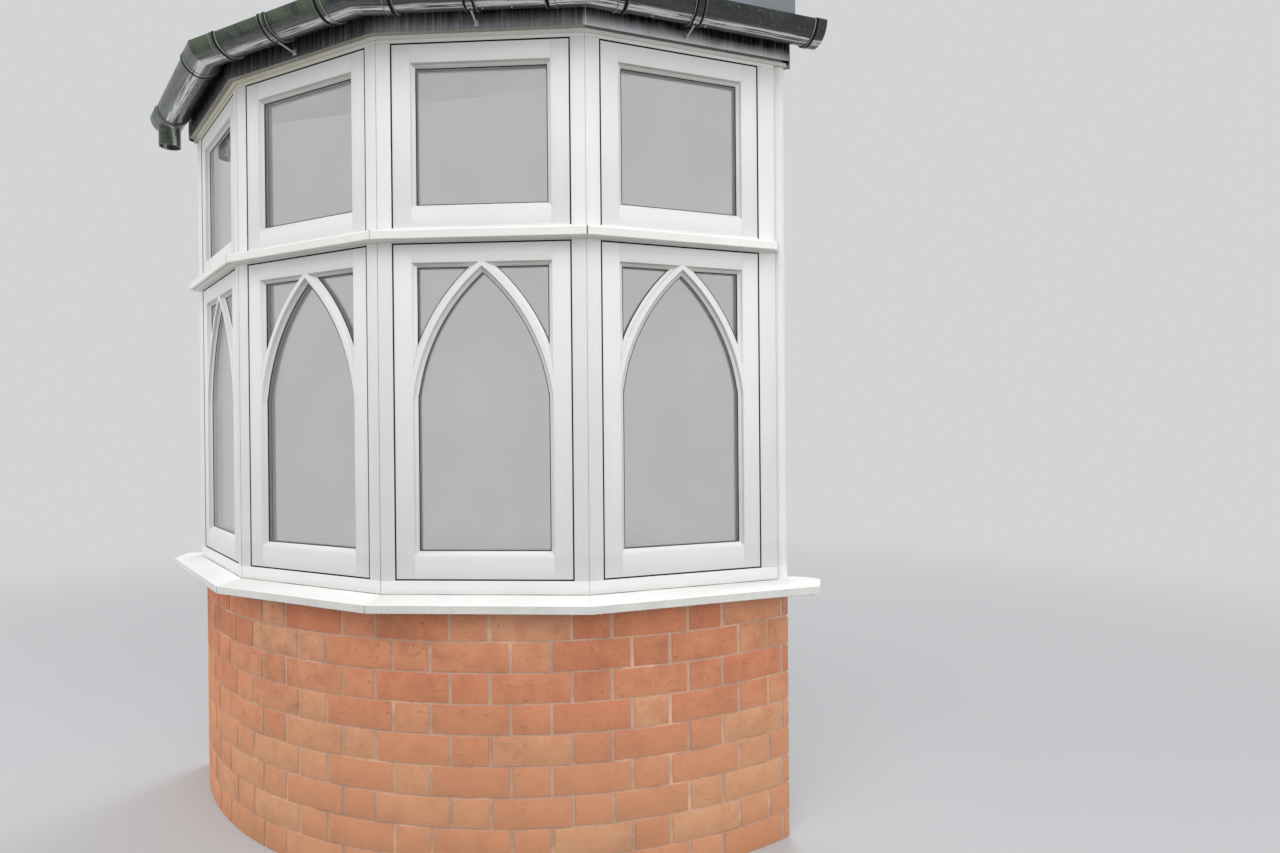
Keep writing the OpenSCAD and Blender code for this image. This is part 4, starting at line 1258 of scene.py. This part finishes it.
class BAY_OT_casements(bpy.types.Operator):
    """Lower casements with their gothic bars, and the plain fanlights above"""
    bl_idname = "bay.casements"
    bl_label = "Casements and fanlights"

    def light(self, piece, p, k, z, height, bottom):
        """Stiles and rails of one opening light."""
        j = p.j
        near = j.jamb_w + j.sash_gap
        far = p.p.facet_w - far_jamb(p, k) - j.sash_gap
        shape = (j.bevel_w, j.sash_set, j.unit_lap, j.unit_t)
        for a, b in ((near, near + j.stile_w), (far, far - j.stile_w)):
            outline = rail_section(a, b, p.glass_y, p.stop_y, *shape)
            piece.lay(soften(prism(outline, z, z + height, "Z"), j.arris), p, k, run=0.0)
        x0, x1 = near + j.stile_w, far - j.stile_w
        planed_off = 0.0003
        for a, b in ((z, z + bottom), (z + height, z + height - j.stile_w)):
            outline = rail_section(a, b, p.glass_y, p.stop_y - planed_off, *shape)
            section = [(depth, across) for across, depth in outline]
            piece.lay(soften(prism(section, x0, x1), j.arris), p, k, run=1.0)
        return x0, x1

    def arch(self, piece, p, k, x0, x1, top):
        """The pointed arch of glazing bar, outside and inside the glass."""
        j = p.j
        width = j.bar_w
        edge = 0.0008
        face = j.sash_set + 0.0002
        ridge, ridge_y = j.bevel_w * BREAK_ACROSS, j.sash_set + j.glass_set * BREAK_DEEP
        low, high = -j.bevel_w, width + j.bevel_w
        outside = [(edge, face), (width - edge, face), (width, face + edge), (width + ridge, ridge_y),
                   (high, p.glass_y), (low, p.glass_y), (-ridge, ridge_y), (0.0, face + edge)]
        back = p.glass_y + j.unit_t
        flat, turned = p.stop_y - 0.0006, p.stop_y - 0.004
        round_to = 0.006
        inside = [(low, back), (high, back), (high, turned), (high - round_to, flat),
                  (low + round_to, flat), (low, turned)]
        for section in (outside, inside):
            for half in arch_halves(p, x0, x1, top, section):
                piece.lay(half, p, k, run=0.5, tone=0.3)

    def execute(self, context):
        p = plan()
        j = p.j
        gap = j.sash_gap
        for k, side in enumerate(SIDE_NAMES):
            casement = Piece("timber_casement_" + side, 40 + k)
            z, height = p.frame_z + j.bottom_rail + gap, j.lower_light - 2 * gap
            x0, x1 = self.light(casement, p, k, z, height, j.sash_bottom)
            self.arch(casement, p, k, x0, x1, z + height - j.stile_w)
            fanlight = Piece("timber_fanlight_" + side, 60 + k)
            self.light(fanlight, p, k, p.upper_z + gap, p.upper_h - 2 * gap, j.stile_w)
            for piece, stands_for in ((casement, "casement_"), (fanlight, "fanlight_")):
                piece.finish(["satin_paint_on_joinery"], [stands_for + side], "white_paint")
        return {"FINISHED"}


class BAY_OT_glazing(bpy.types.Operator):
    """Sealed glass units: two panes, a spacer bar between them and rain on the outer pane"""
    bl_idname = "bay.glazing"
    bl_label = "Glazing"

    def unit(self, piece, p, k, near, far, z, height, arched):
        """One sealed unit: panes, and a spacer with butyl on both sides, also behind the arch."""
        j = p.j
        pane_t, butyl_t, play, bar_short = 0.004, 0.0016, 0.0015, 0.0010
        inset = j.bevel_w - j.unit_lap + play
        bar_w = j.unit_lap - bar_short
        low = (near + inset, p.glass_y, z + inset)
        high = (far - inset, p.glass_y + j.unit_t, z + height - inset)
        for y in (low[1], high[1] - pane_t):
            piece.lay(block((low[0], y, low[2]), (high[0], y + pane_t, high[2])), p, k, material=0)
        y0, y1 = low[1] + pane_t, high[1] - pane_t
        planes = [(Vector(low), -X), (Vector(high), X), (Vector(high), Z)]
        lip = j.bevel_w - 0.0005
        layers = ((y0, y0 + butyl_t, 2), (y0 + butyl_t, y1 - butyl_t, 1), (y1 - butyl_t, y1, 2))
        for a, b, material in layers:
            for bar in surround((low[0], a, low[2]), (high[0], b, high[2]), bar_w):
                piece.lay(block(*bar), p, k, material=material)
            if arched:
                section = [(-lip, a), (j.bar_w + lip, a), (j.bar_w + lip, b), (-lip, b)]
                for half in arch_halves(p, near, far, z + height, section):
                    piece.lay(cut(half, planes), p, k, material=material)

    def gasket(self, piece, p, k, near, far, z, height, arched):
        """Thin black gasket round the outer pane, and along both sides of the arched bar, also standing as
        painted shade at the glass's edge.
        """
        j = p.j
        lip = 0.0014
        y0, y1 = p.glass_y - 0.001, p.glass_y - 0.00005
        low = (near + j.bevel_w, y0, z + j.bevel_w)
        high = (far - j.bevel_w, y1, z + height - j.bevel_w)
        for bar in surround(low, high, lip):
            piece.lay(block(*bar), p, k, material=2)
        if not arched:
            return
        planes = [(X * low[0], -X), (X * high[0], X), (Z * high[2], Z)]
        for edge in (-j.bevel_w - lip, j.bar_w + j.bevel_w):
            section = [(edge, y0), (edge + lip, y0), (edge + lip, y1), (edge, y1)]
            for half in arch_halves(p, near, far, high[2] + j.bevel_w, section):
                piece.lay(cut(half, planes), p, k, material=2)

    def execute(self, context):
        p = plan()
        j = p.j
        near = j.jamb_w + j.sash_gap + j.stile_w
        z_low = p.frame_z + j.bottom_rail + j.sash_gap + j.sash_bottom
        z_fan = p.upper_z + j.sash_gap + j.stile_w
        lights = (
            ("casement_glass_", z_low, j.lower_light - 2 * j.sash_gap - j.sash_bottom - j.stile_w),
            ("fanlight_glass_", z_fan, p.upper_h - 2 * j.sash_gap - 2 * j.stile_w),
        )
        raindrop = droplet("raindrop", radius=0.0019, segments=7, rings=5, height=0.45)
        tree = rain_tree()
        rain = bmesh.new()
        margin = 0.012
        y = p.glass_y - 0.0001
        for k, side in enumerate(SIDE_NAMES):
            far = p.p.facet_w - far_jamb(p, k) - j.sash_gap - j.stile_w
            for start, z, height in lights:
                piece = Piece("unit_" + start + side, 80 + k)
                for make in (self.unit, self.gasket):
                    make(piece, p, k, near, far, z, height, start == "casement_glass_")
                piece.finish(["float_glass", "spacer_bar", "moulded_rubber_seal"], [start + side], "glass")
                x0, x1, z0, z1 = near + margin, far - margin, z + margin, z + height - margin
                face = bmesh.new()
                corners = [(x0, y, z0), (x1, y, z0), (x1, y, z1), (x0, y, z1)]
                face.faces.new([face.verts.new(corner) for corner in corners])
                join(rain, mirrored(grown(tree, {
                    "Density": 260.0, "Seed": 5 + 2 * k, "Drop": raindrop, "Material": found("rain_water"),
                }, put(face, p, k)), k))
        discard(raindrop)
        dress(mesh_object("rain_on_glass", rain), ["rain_water"], (), 80.0)
        return {"FINISHED"}


class BAY_OT_trim(bpy.types.Operator):
    """Drip moulding, cover beads, head trim and black fascia"""
    bl_idname = "bay.trim"
    bl_label = "Drip, beads and fascia"

    def joints(self, p, foot):
        """Dirt and painted shade in the mitred joints at the three corners, and along the sill under the
        frames.
        """
        j = p.j
        piece = Piece("dirt_in_joints", 125)
        skin, set_in = 0.0003, 0.001
        drip_y, sill_y = -j.drip_proj - skin, -j.sill_proj - skin
        sill_top = p.frame_z - j.sill_fall
        sill_low = sill_top - j.sill_nose + 0.002
        outlines = (
            ([(-skin, p.frame_z), (0.004, p.frame_z), (0.004, p.fascia_z), (-skin, p.fascia_z)],
             (0.0003, 0.0003, 0.0003)),
            ([(drip_y, foot + 0.002), (0.0, foot + 0.002), (0.0, foot + j.drip_back),
              (drip_y, foot + j.drip_nose)], (0.0006, 0.0014, 0.0006)),
            ([(sill_y, sill_low), (0.0, sill_low), (0.0, p.frame_z - set_in), (sill_y, sill_top - set_in)],
             (0.0006, 0.0, 0.0003)),
        )
        corners = ((p.middle, 0.0, 3), (p.knee, p.p.turn, 3), (p.knee, p.p.turn, 0))
        for outline, halves in outlines:
            section = [(y / math.cos(p.front), z) for y, z in outline]
            for half, (corner, angle, side) in zip(halves, corners):
                if half:
                    slab = prism(section, -half, half)
                    slab.transform(Matrix.Translation(corner) @ Matrix.Rotation(angle, 4, "Z"))
                    piece.add(mirrored(slab, side), run=0.0, material=int(half > 0.001))
        line = 0.0016
        section = [(0.0, p.frame_z - set_in), (0.0, p.frame_z + line),
                   (-line, p.frame_z), (-line, p.frame_z - set_in)]
        for k in range(4):
            piece.add(run_along(p, k, section, reach=p.end.x), run=1.0)
        piece.finish(["dirt_in_timber_joints", "moulded_rubber_seal"], (), "white_paint")

    def fascia(self, p):
        """Black boards with a return at each end, and a painted strip on the right corner."""
        e = p.e
        piece = Piece("timber_fascia", 130)
        face, low, high = -e.fascia_t, p.fascia_z, p.fascia_top
        section = [(face, low), (0.0, low), (0.0, high), (face, high)]
        end_x = p.end.x + e.fascia_past
        rounding = 0.0018
        for k in range(4):
            piece.add(run_along(p, k, section, reach=end_x, round_to=rounding), run=1.0)
            if is_side(k):
                back = block((end_x - e.fascia_t, p.end.y - e.fascia_t, low), (end_x, p.wall, high))
                at = place(p, k)
                cut(back, [(at @ (Y * face), -(at.to_3x3() @ Y))])
                piece.add(mirrored(soften(back, rounding), k), run=1.0)
        corner = face * math.tan(p.front)
        strip = block((corner, face - 0.0008, low + 0.001), (corner + 0.0026, face + 0.002, high - 0.001))
        piece.lay(strip, p, 3, run=0.0, material=1)
        piece.finish(["black_gloss_on_boards", "gloss_paint_on_drip"], ["fascia"], "black_fascia")

    def execute(self, context):
        p = plan()
        j, e = p.j, p.e
        foot = p.transom_z + (j.transom_h - j.drip_back) / 2
        nose = -j.drip_proj
        groove, groove_end = nose + 0.009, nose + 0.014
        groove_top = foot + 0.004
        section = [
            (0.0, foot), (0.0, foot + j.drip_back), (nose + 0.003, foot + j.drip_nose + 0.001),
            (nose, foot + j.drip_nose - 0.002), (nose, foot + 0.002), (nose + 0.002, foot),
            (groove, foot), (groove, groove_top), (groove_end, groove_top), (groove_end, foot),
        ]
        reach = p.end.x + j.drip_past
        for k, side in enumerate(SIDE_NAMES):
            piece = Piece("timber_drip_" + side, 100 + k)
            piece.add(run_along(p, k, section, reach=reach, round_to=j.arris), run=1.0)
            piece.finish(["gloss_paint_on_drip"], ["drip_" + side], "white_paint")
        hang_drops(p, "transom_drops", nose + 0.004, foot - 0.0003, reach, step=0.047, share=0.2)
        for side in ("left", "right"):
            cad_piece("cover_bead_" + side, "timber_bead_" + side, 110, "satin_paint_on_joinery",
                      "white_paint", 0.0, 40.0)
        trim = Piece("timber_head_trim", 120)
        high, low, edge = p.fascia_z, p.fascia_z - e.trim_h, 0.003
        section = [(0.0, low), (0.0, high), (-e.trim_h, high), (-e.trim_h, high - edge), (-edge, low)]
        reach = p.end.x + e.fascia_past - 0.010
        for k in range(4):
            trim.add(run_along(p, k, section, reach=reach, round_to=0.0006), run=1.0)
        trim.finish(["satin_paint_on_joinery"], ["head_trim"], "white_paint")
        self.joints(p, foot)
        self.fascia(p)
        return {"FINISHED"}


class BAY_OT_gutter(bpy.types.Operator):
    """Half-round gutter with its angles, seals, brackets, rods, outlet and stop end"""
    bl_idname = "bay.gutter"
    bl_label = "Gutter"

    FITTING = ["weathered_gutter_plastic", "gutter_seal_rubber", "worn_plastic_edges"]

    def trough(self, p, r_out, r_in):
        """Section of a half-round channel at the gutter's place."""
        y, z, count = -p.gutter_out, p.rim_z, 28
        return arc(y, z, r_out, 180, 360, count) + arc(y, z, r_in, 360, 180, count)

    def angles(self, p, body, band, seal):
        """Fittings at the three corners, with the band, seal and rubbed edges at each mouth."""
        e = p.e
        piece = Piece("gutter_corner_angles", 150)
        arms = []
        for k in range(4):
            arms.append((k, -FAR / 2, e.angle_len))
            if not is_side(k):
                arms.append((k, p.p.facet_w - e.angle_len, FAR))
        rings = ((band, 0.0, 0.015, 0), (seal, 0.015, 0.0175, 2), (seal, 0.0, -0.010, 1),
                 (seal, -0.010, -0.012, 2))
        for k, x0, x1 in arms:
            tip, inner = (x1, -1) if x1 < FAR else (x0, 1)
            piece.add(run_along(p, k, body, x0, x1), run=1.0)
            for section, start, stop, material in rings:
                a, b = sorted((tip + inner * start, tip + inner * stop))
                piece.add(run_along(p, k, section, a, b), run=1.0, material=material)
        piece.finish(self.FITTING, ["gutter_angles"], "gutter_plastic", 40.0)

    def brackets(self, p, body, band, seal):
        """Collar, lug, stay rod, tab and screw at the middle of every side but the left one."""
        e = p.e
        collars = Piece("gutter_bracket_collars", 160)
        rods = Piece("gutter_bracket_rods", 170)
        mid = p.p.facet_w / 2
        half = e.collar_len / 2
        board = -e.fascia_t
        seat = e.fascia_t + e.gutter_gap - 0.0013
        tab_t, rod_r, screw_r = 0.0025, 0.003, 0.0035
        lug_half, lug_h, tab_half = 0.014, 0.016, 0.007
        tab_low, foot_z, screw_z, tab_high = (p.fascia_z + up for up in (0.008, 0.014, 0.021, 0.026))
        hook_back, hook_under = 0.004, 0.0035
        rings = ((0.0, 0.0016, seal, 2), (0.0016, 0.0080, seal, 1), (0.0080, 0.0140, band, 0))
        for k in (1, 2, 3):
            collars.lay(prism(body, mid - half, mid + half), p, k, run=1.0)
            for way in (-1, 1):
                for start, stop, section, material in rings:
                    a, b = sorted((mid + way * (half - start), mid + way * (half - stop)))
                    collars.lay(prism(section, a, b), p, k, run=1.0, material=material)
            lug = block((mid - lug_half, -seat, p.rim_z - lug_h), (mid + lug_half, board, p.rim_z))
            collars.lay(soften(lug, 0.0015), p, k, run=1.0)
            foot = Vector((mid, board - rod_r, foot_z))
            top = Vector((mid, -p.gutter_out + hook_back, p.rim_z - e.gutter_r - hook_under))
            rod = bmesh.new()
            bmesh.ops.create_cone(rod, cap_ends=True, segments=12, radius1=rod_r, radius2=rod_r,
                                  depth=(top - foot).length)
            lean = (top - foot).to_track_quat("Z", "Y")
            rod.transform(Matrix.Translation((top + foot) / 2) @ lean.to_matrix().to_4x4())
            rods.lay(rod, p, k)
            tab = block((mid - tab_half, board - tab_t, tab_low), (mid + tab_half, board, tab_high))
            rods.lay(soften(tab, 0.001), p, k)
            screw = bmesh.new()
            bmesh.ops.create_uvsphere(screw, u_segments=12, v_segments=8, radius=screw_r)
            screw.transform(Matrix.Translation((mid, board - tab_t, screw_z)))
            rods.lay(screw, p, k)
        collars.finish(self.FITTING, ["gutter_brackets"], "gutter_plastic", 40.0)
        rods.finish(["galvanised_steel"], ["gutter_brackets"], "gutter_plastic", 40.0)

    def execute(self, context):
        p = plan()
        e = p.e
        width = p.p.facet_w
        end = width + e.gutter_past
        spigot, socket_r, socket_wall, shoulders = 0.030, 0.0345, 0.003, 0.016
        outlet_body = spigot + 2 * (socket_r + socket_wall) + shoulders
        pipe = self.trough(p, e.gutter_r, e.gutter_r - e.gutter_wall)
        rim_r = 0.0035
        rims = [arc(-p.gutter_out + way * (e.gutter_r - rim_r), p.rim_z - rim_r, rim_r, 0, 330, 11)
                for way in (-1, 1)]
        gap = 0.005
        lengths = Piece("gutter_lengths", 140)
        for k in range(4):
            stop = {0: end - outlet_body + spigot, 3: end}.get(k, width - gap)
            for section in [pipe] + rims:
                lengths.lay(prism(section, gap, stop), p, k, run=1.0)
        lengths.finish(self.FITTING[:1], ["gutter"], "gutter_plastic", 40.0)
        body = self.trough(p, p.collar_r - 0.0013, e.gutter_r + 0.0003)
        band = self.trough(p, p.collar_r, e.gutter_r + 0.0004)
        seal = self.trough(p, p.collar_r + 0.0007, e.gutter_r + 0.0002)
        self.angles(p, body, band, seal)
        self.brackets(p, body, band, seal)
        x = end - outlet_body
        for node_name, made_name, seed, k, seals in (
                ("gutter_outlet", "gutter_running_outlet", 180, 0,
                 ((x - 0.010, x - 0.008, 2), (x - 0.008, x, 1))),
                ("gutter_stop_end", "gutter_end_cap", 190, 3,
                 ((end - 0.034, end - 0.026, 1), (end - 0.036, end - 0.034, 2)))):
            piece = Piece(made_name, seed)
            piece.add(cad_solid(node_name), run=1.0)
            for start, stop, material in seals:
                piece.lay(prism(seal, start, stop), p, k, run=1.0, material=material)
            piece.finish(self.FITTING, [node_name], "gutter_plastic", 40.0)
        hang_drops(p, "gutter_drops", -p.gutter_out, p.rim_z - e.gutter_r - 0.0003, p.end.x,
                   step=0.083, share=0.2, radius=0.0034)
        return {"FINISHED"}


class BAY_OT_roof(bpy.types.Operator):
    """Hipped roof: boards, slates in courses, lead rolls and flashing"""
    bl_idname = "bay.roof"
    bl_label = "Roof"

    # How much of the slab's thickness over the boards is left to the slates
    ROOM = 0.0125

    def boards(self, p):
        """The slab over each side, its top lowered to make room for the slates."""
        e = p.e
        slab = cad_solid("roof")
        sides = [place(p, k).inverted() for k in (2, 3)]
        for v in slab.verts:
            spot = Vector((abs(v.co.x), v.co.y, v.co.z))
            under = min(p.fascia_top + (e.fascia_t + (side @ spot).y) * math.tan(e.pitch) for side in sides)
            if spot.z - under > e.roof_t / 2:
                v.co.z -= self.ROOM
        piece = Piece("roof_boards", 200)
        piece.add(slab, run=1.0)
        piece.finish(["sawn_softwood"], ["roof"], "slates")

    def slates(self, p):
        """Courses of slates on all four sides, cut at the hips and the ends."""
        e = p.e
        joint, length_in_gauges, clear_of_wall = 0.0012, 2.15, 0.001
        first_on_side, first_on_front = -0.45, -0.30
        one = block((-e.slate_w / 2 + joint, 0.0, 0.0),
                    (e.slate_w / 2 - joint, e.slate_gauge * length_in_gauges, e.slate_t))
        soften(one, 0.0012, 60.0, 1)
        lean = math.atan(e.slate_t / e.slate_gauge)
        one.transform(Matrix.Translation((0, 0, e.slate_t * 1.05)) @ Matrix.Rotation(-lean, 4, "X"))
        source = template("slate", one)
        tree = slate_tree()
        outer = e.fascia_t + e.eaves_out
        slates = bmesh.new()
        for k in range(4):
            low = place(p, k) @ Vector((first_on_side if is_side(k) else first_on_front, -outer, 0))
            low.z = p.fascia_top + (e.fascia_t - outer) * math.tan(e.pitch) + e.roof_t - self.ROOM
            planes = region(p, k, p.end.x + e.roof_past) + [(Y * (p.wall - clear_of_wall), Y)]
            join(slates, mirrored(cut(grown(tree, {
                "Place": low, "Turn": p.side if is_side(k) else p.front, "Pitch": e.pitch,
                "Slate width": e.slate_w, "Gauge": e.slate_gauge, "Courses": 7, "Slates in a course": 12,
                "Seed": 3 + k, "Slate": source, "Material": found("riven_slate"),
            }), planes), k))
        discard(source)
        dress(mesh_object("roof_slates", slates), ["riven_slate"], ["roof"], 25.0)

    def execute(self, context):
        p = plan()
        self.boards(p)
        self.slates(p)
        for name in ("hip_rolls", "wall_flashing"):
            cad_piece(name, "lead_" + name, 210, "weathered_sheet_lead", "lead", 0.0, 35.0)
        return {"FINISHED"}


class BAY_OT_inside(bpy.types.Operator):
    """Rafters, ceiling board, window board and casement handles"""
    bl_idname = "bay.inside"
    bl_label = "Inside"

    def execute(self, context):
        cad_piece("rafters", "roof_rafters", 220, "sawn_softwood", "roof_timber", 1.0)
        cad_piece("ceiling", "ceiling_board", 221, "eggshell_paint_inside", "inside_paint", 1.0)
        cad_piece("window_board", "timber_window_board", 222, "eggshell_paint_inside", "inside_paint",
                  1.0, 35.0)
        piece = Piece("casement_lever_handles", 223)
        piece.add(soften(cad_solid("casement_handles"), 0.0015, 50.0), run=0.0)
        piece.finish(["coated_handle_metal"], ["casement_handles"], "handle_metal", 35.0)
        return {"FINISHED"}


class BAY_OT_stage(bpy.types.Operator):
    """Pale floor and surround, soft light and the camera"""
    bl_idname = "bay.stage"
    bl_label = "Stage"

    def seen(self, add):
        """1 where the camera looks straight, by reflection or through glass, and 0 for the light."""
        ray = add("LightPath").node.outputs
        shown = add("Math", (ray["Is Camera Ray"], ray["Is Glossy Ray"]), operation="MAXIMUM")
        return add("Math", (shown, ray["Is Transmission Ray"]), operation="MAXIMUM")

    def floor_material(self, pale):
        """Pale matt floor that fades into the surround, and throws little light back."""
        made, add, at = new_material("pale_floor", 0.9)
        nodes = made.node_tree.nodes
        two_tone(made, add("TexNoise", {"Vector": at, "Scale": 0.6}), rgba(pale, 0.76), rgba(pale, 0.74))
        away = add("VectorMath", (at,), "Value", operation="LENGTH")
        far = add("MapRange", (away, 1.4, 8.0), interpolation_type="SMOOTHSTEP")
        haze = add("Emission", {"Color": rgba(pale), "Strength": 1.0})
        near = add("MixShader", (far, nodes["Principled BSDF"].outputs[0], haze))
        dark = add("BsdfDiffuse", {"Color": (0.32, 0.32, 0.31, 1.0)})
        both = add("MixShader", (self.seen(add), dark, near))
        made.node_tree.links.new(both, nodes["Material Output"].inputs[0])
        return made

    def sky(self, scene, pale):
        """Soft sky that the camera sees as the pale surround."""
        world = bpy.data.worlds.new("soft sky")
        scene.world = world
        world.use_nodes = True
        world.node_tree.nodes.clear()
        add = partial(node, world.node_tree)
        light = add("Background", {"Color": (0.97, 0.98, 1.0, 1.0), "Strength": 0.71})
        backdrop = add("Background", {"Color": rgba(pale), "Strength": 1.0})
        add("OutputWorld", (add("MixShader", (self.seen(add), light, backdrop)),))

    def lamps(self, scene):
        """Soft lamps, each aimed at a level over the origin, and seen by nothing but the surfaces."""
        for name, at, level, power, size, spread in (
                ("sky lamp", (0.8, -3.6, 6.4), 1.3, 189.0, 4.5, 180.0),
                ("left lamp", (-5.0, -1.8, 1.6), 1.3, 88.0, 3.0, 180.0),
                ("right lamp", (5.0, -2.2, 2.4), 1.3, 83.0, 3.0, 180.0),
                ("back lamp", (0.0, 4.5, 4.2), 1.3, 70.0, 3.5, 180.0),
                ("low back lamp", (0.0, 3.4, 1.4), 2.2, 26.0, 2.2, 100.0)):
            data = bpy.data.lights.new(name, "AREA")
            data.energy = power
            data.shape = "DISK"
            data.size = size
            data.spread = math.radians(spread)
            lamp = bpy.data.objects.new(name, data)
            aim = (Z * level - Vector(at)).to_track_quat("-Z", "Y")
            lamp.matrix_world = Matrix.Translation(at) @ aim.to_matrix().to_4x4()
            lamp.visible_camera = False
            lamp.visible_glossy = False
            lamp.visible_transmission = False
            scene.collection.objects.link(lamp)

    def camera(self, scene, stage):
        """Camera at the photo's viewpoint."""
        data = bpy.data.cameras.new("camera")
        data.lens = stage.lens
        data.sensor_width = 36.0
        data.sensor_fit = "HORIZONTAL"
        data.shift_y = 0.0051
        data.clip_end = 100.0
        camera = bpy.data.objects.new("camera", data)
        aimed = Matrix.Translation(stage.place)
        heading, tilt, roll = 14.842, -0.237, -0.507
        for degrees, axis in ((heading, "Z"), (90 + tilt, "X"), (roll, "Z")):
            aimed = aimed @ Matrix.Rotation(math.radians(degrees), 4, axis)
        camera.matrix_world = aimed
        scene.collection.objects.link(camera)
        scene.camera = camera

    def execute(self, context):
        scene = context.scene
        stage = scene.bay_stage
        scene.view_settings.view_transform = "Standard"
        self.sky(scene, stage.pale)
        mesh = bpy.data.meshes.new("floor")
        half = 30.0
        mesh.from_pydata([(-half, -half, 0), (half, -half, 0), (half, half, 0), (-half, half, 0)],
                         [], [(0, 1, 2, 3)])
        floor = bpy.data.objects.new("floor", mesh)
        scene.collection.objects.link(floor)
        mesh.materials.append(self.floor_material(stage.pale))
        self.lamps(scene)
        self.camera(scene, stage)
        return {"FINISHED"}


OPERATORS = (BAY_OT_stage, BAY_OT_brickwork, BAY_OT_sill, BAY_OT_frames, BAY_OT_casements,
             BAY_OT_glazing, BAY_OT_trim, BAY_OT_gutter, BAY_OT_roof, BAY_OT_inside)


class BAY_PT_panel(bpy.types.Panel):
    """Lists the bay's operators"""
    bl_label = "Bay Window"
    bl_idname = "BAY_PT_panel"
    bl_space_type = "VIEW_3D"
    bl_region_type = "UI"
    bl_category = "Bay Window"

    def draw(self, context):
        for operator in OPERATORS:
            self.layout.operator(operator.bl_idname)


GROUPS = (("bay_plan", BayPlan), ("bay_brick", BayBrick), ("bay_joinery", BayJoinery),
          ("bay_eaves", BayEaves), ("bay_colours", BayColours), ("bay_stage", BayStage))


def register():
    """Register the sizes, operators and panel."""
    for name, group in GROUPS:
        bpy.utils.register_class(group)
        setattr(bpy.types.Scene, name, PointerProperty(type=group))
    for operator in OPERATORS:
        bpy.utils.register_class(operator)
    bpy.utils.register_class(BAY_PT_panel)


def unregister():
    """Remove what register added."""
    bpy.utils.unregister_class(BAY_PT_panel)
    for operator in reversed(OPERATORS):
        bpy.utils.unregister_class(operator)
    for name, group in reversed(GROUPS):
        delattr(bpy.types.Scene, name)
        bpy.utils.unregister_class(group)


def main():
    """Build every piece in order."""
    register()
    bpy.ops.bay.stage()
    bpy.ops.bay.brickwork()
    bpy.ops.bay.sill()
    bpy.ops.bay.frames()
    bpy.ops.bay.casements()
    bpy.ops.bay.glazing()
    bpy.ops.bay.trim()
    bpy.ops.bay.gutter()
    bpy.ops.bay.roof()
    bpy.ops.bay.inside()


if __name__ == "__main__":
    main()
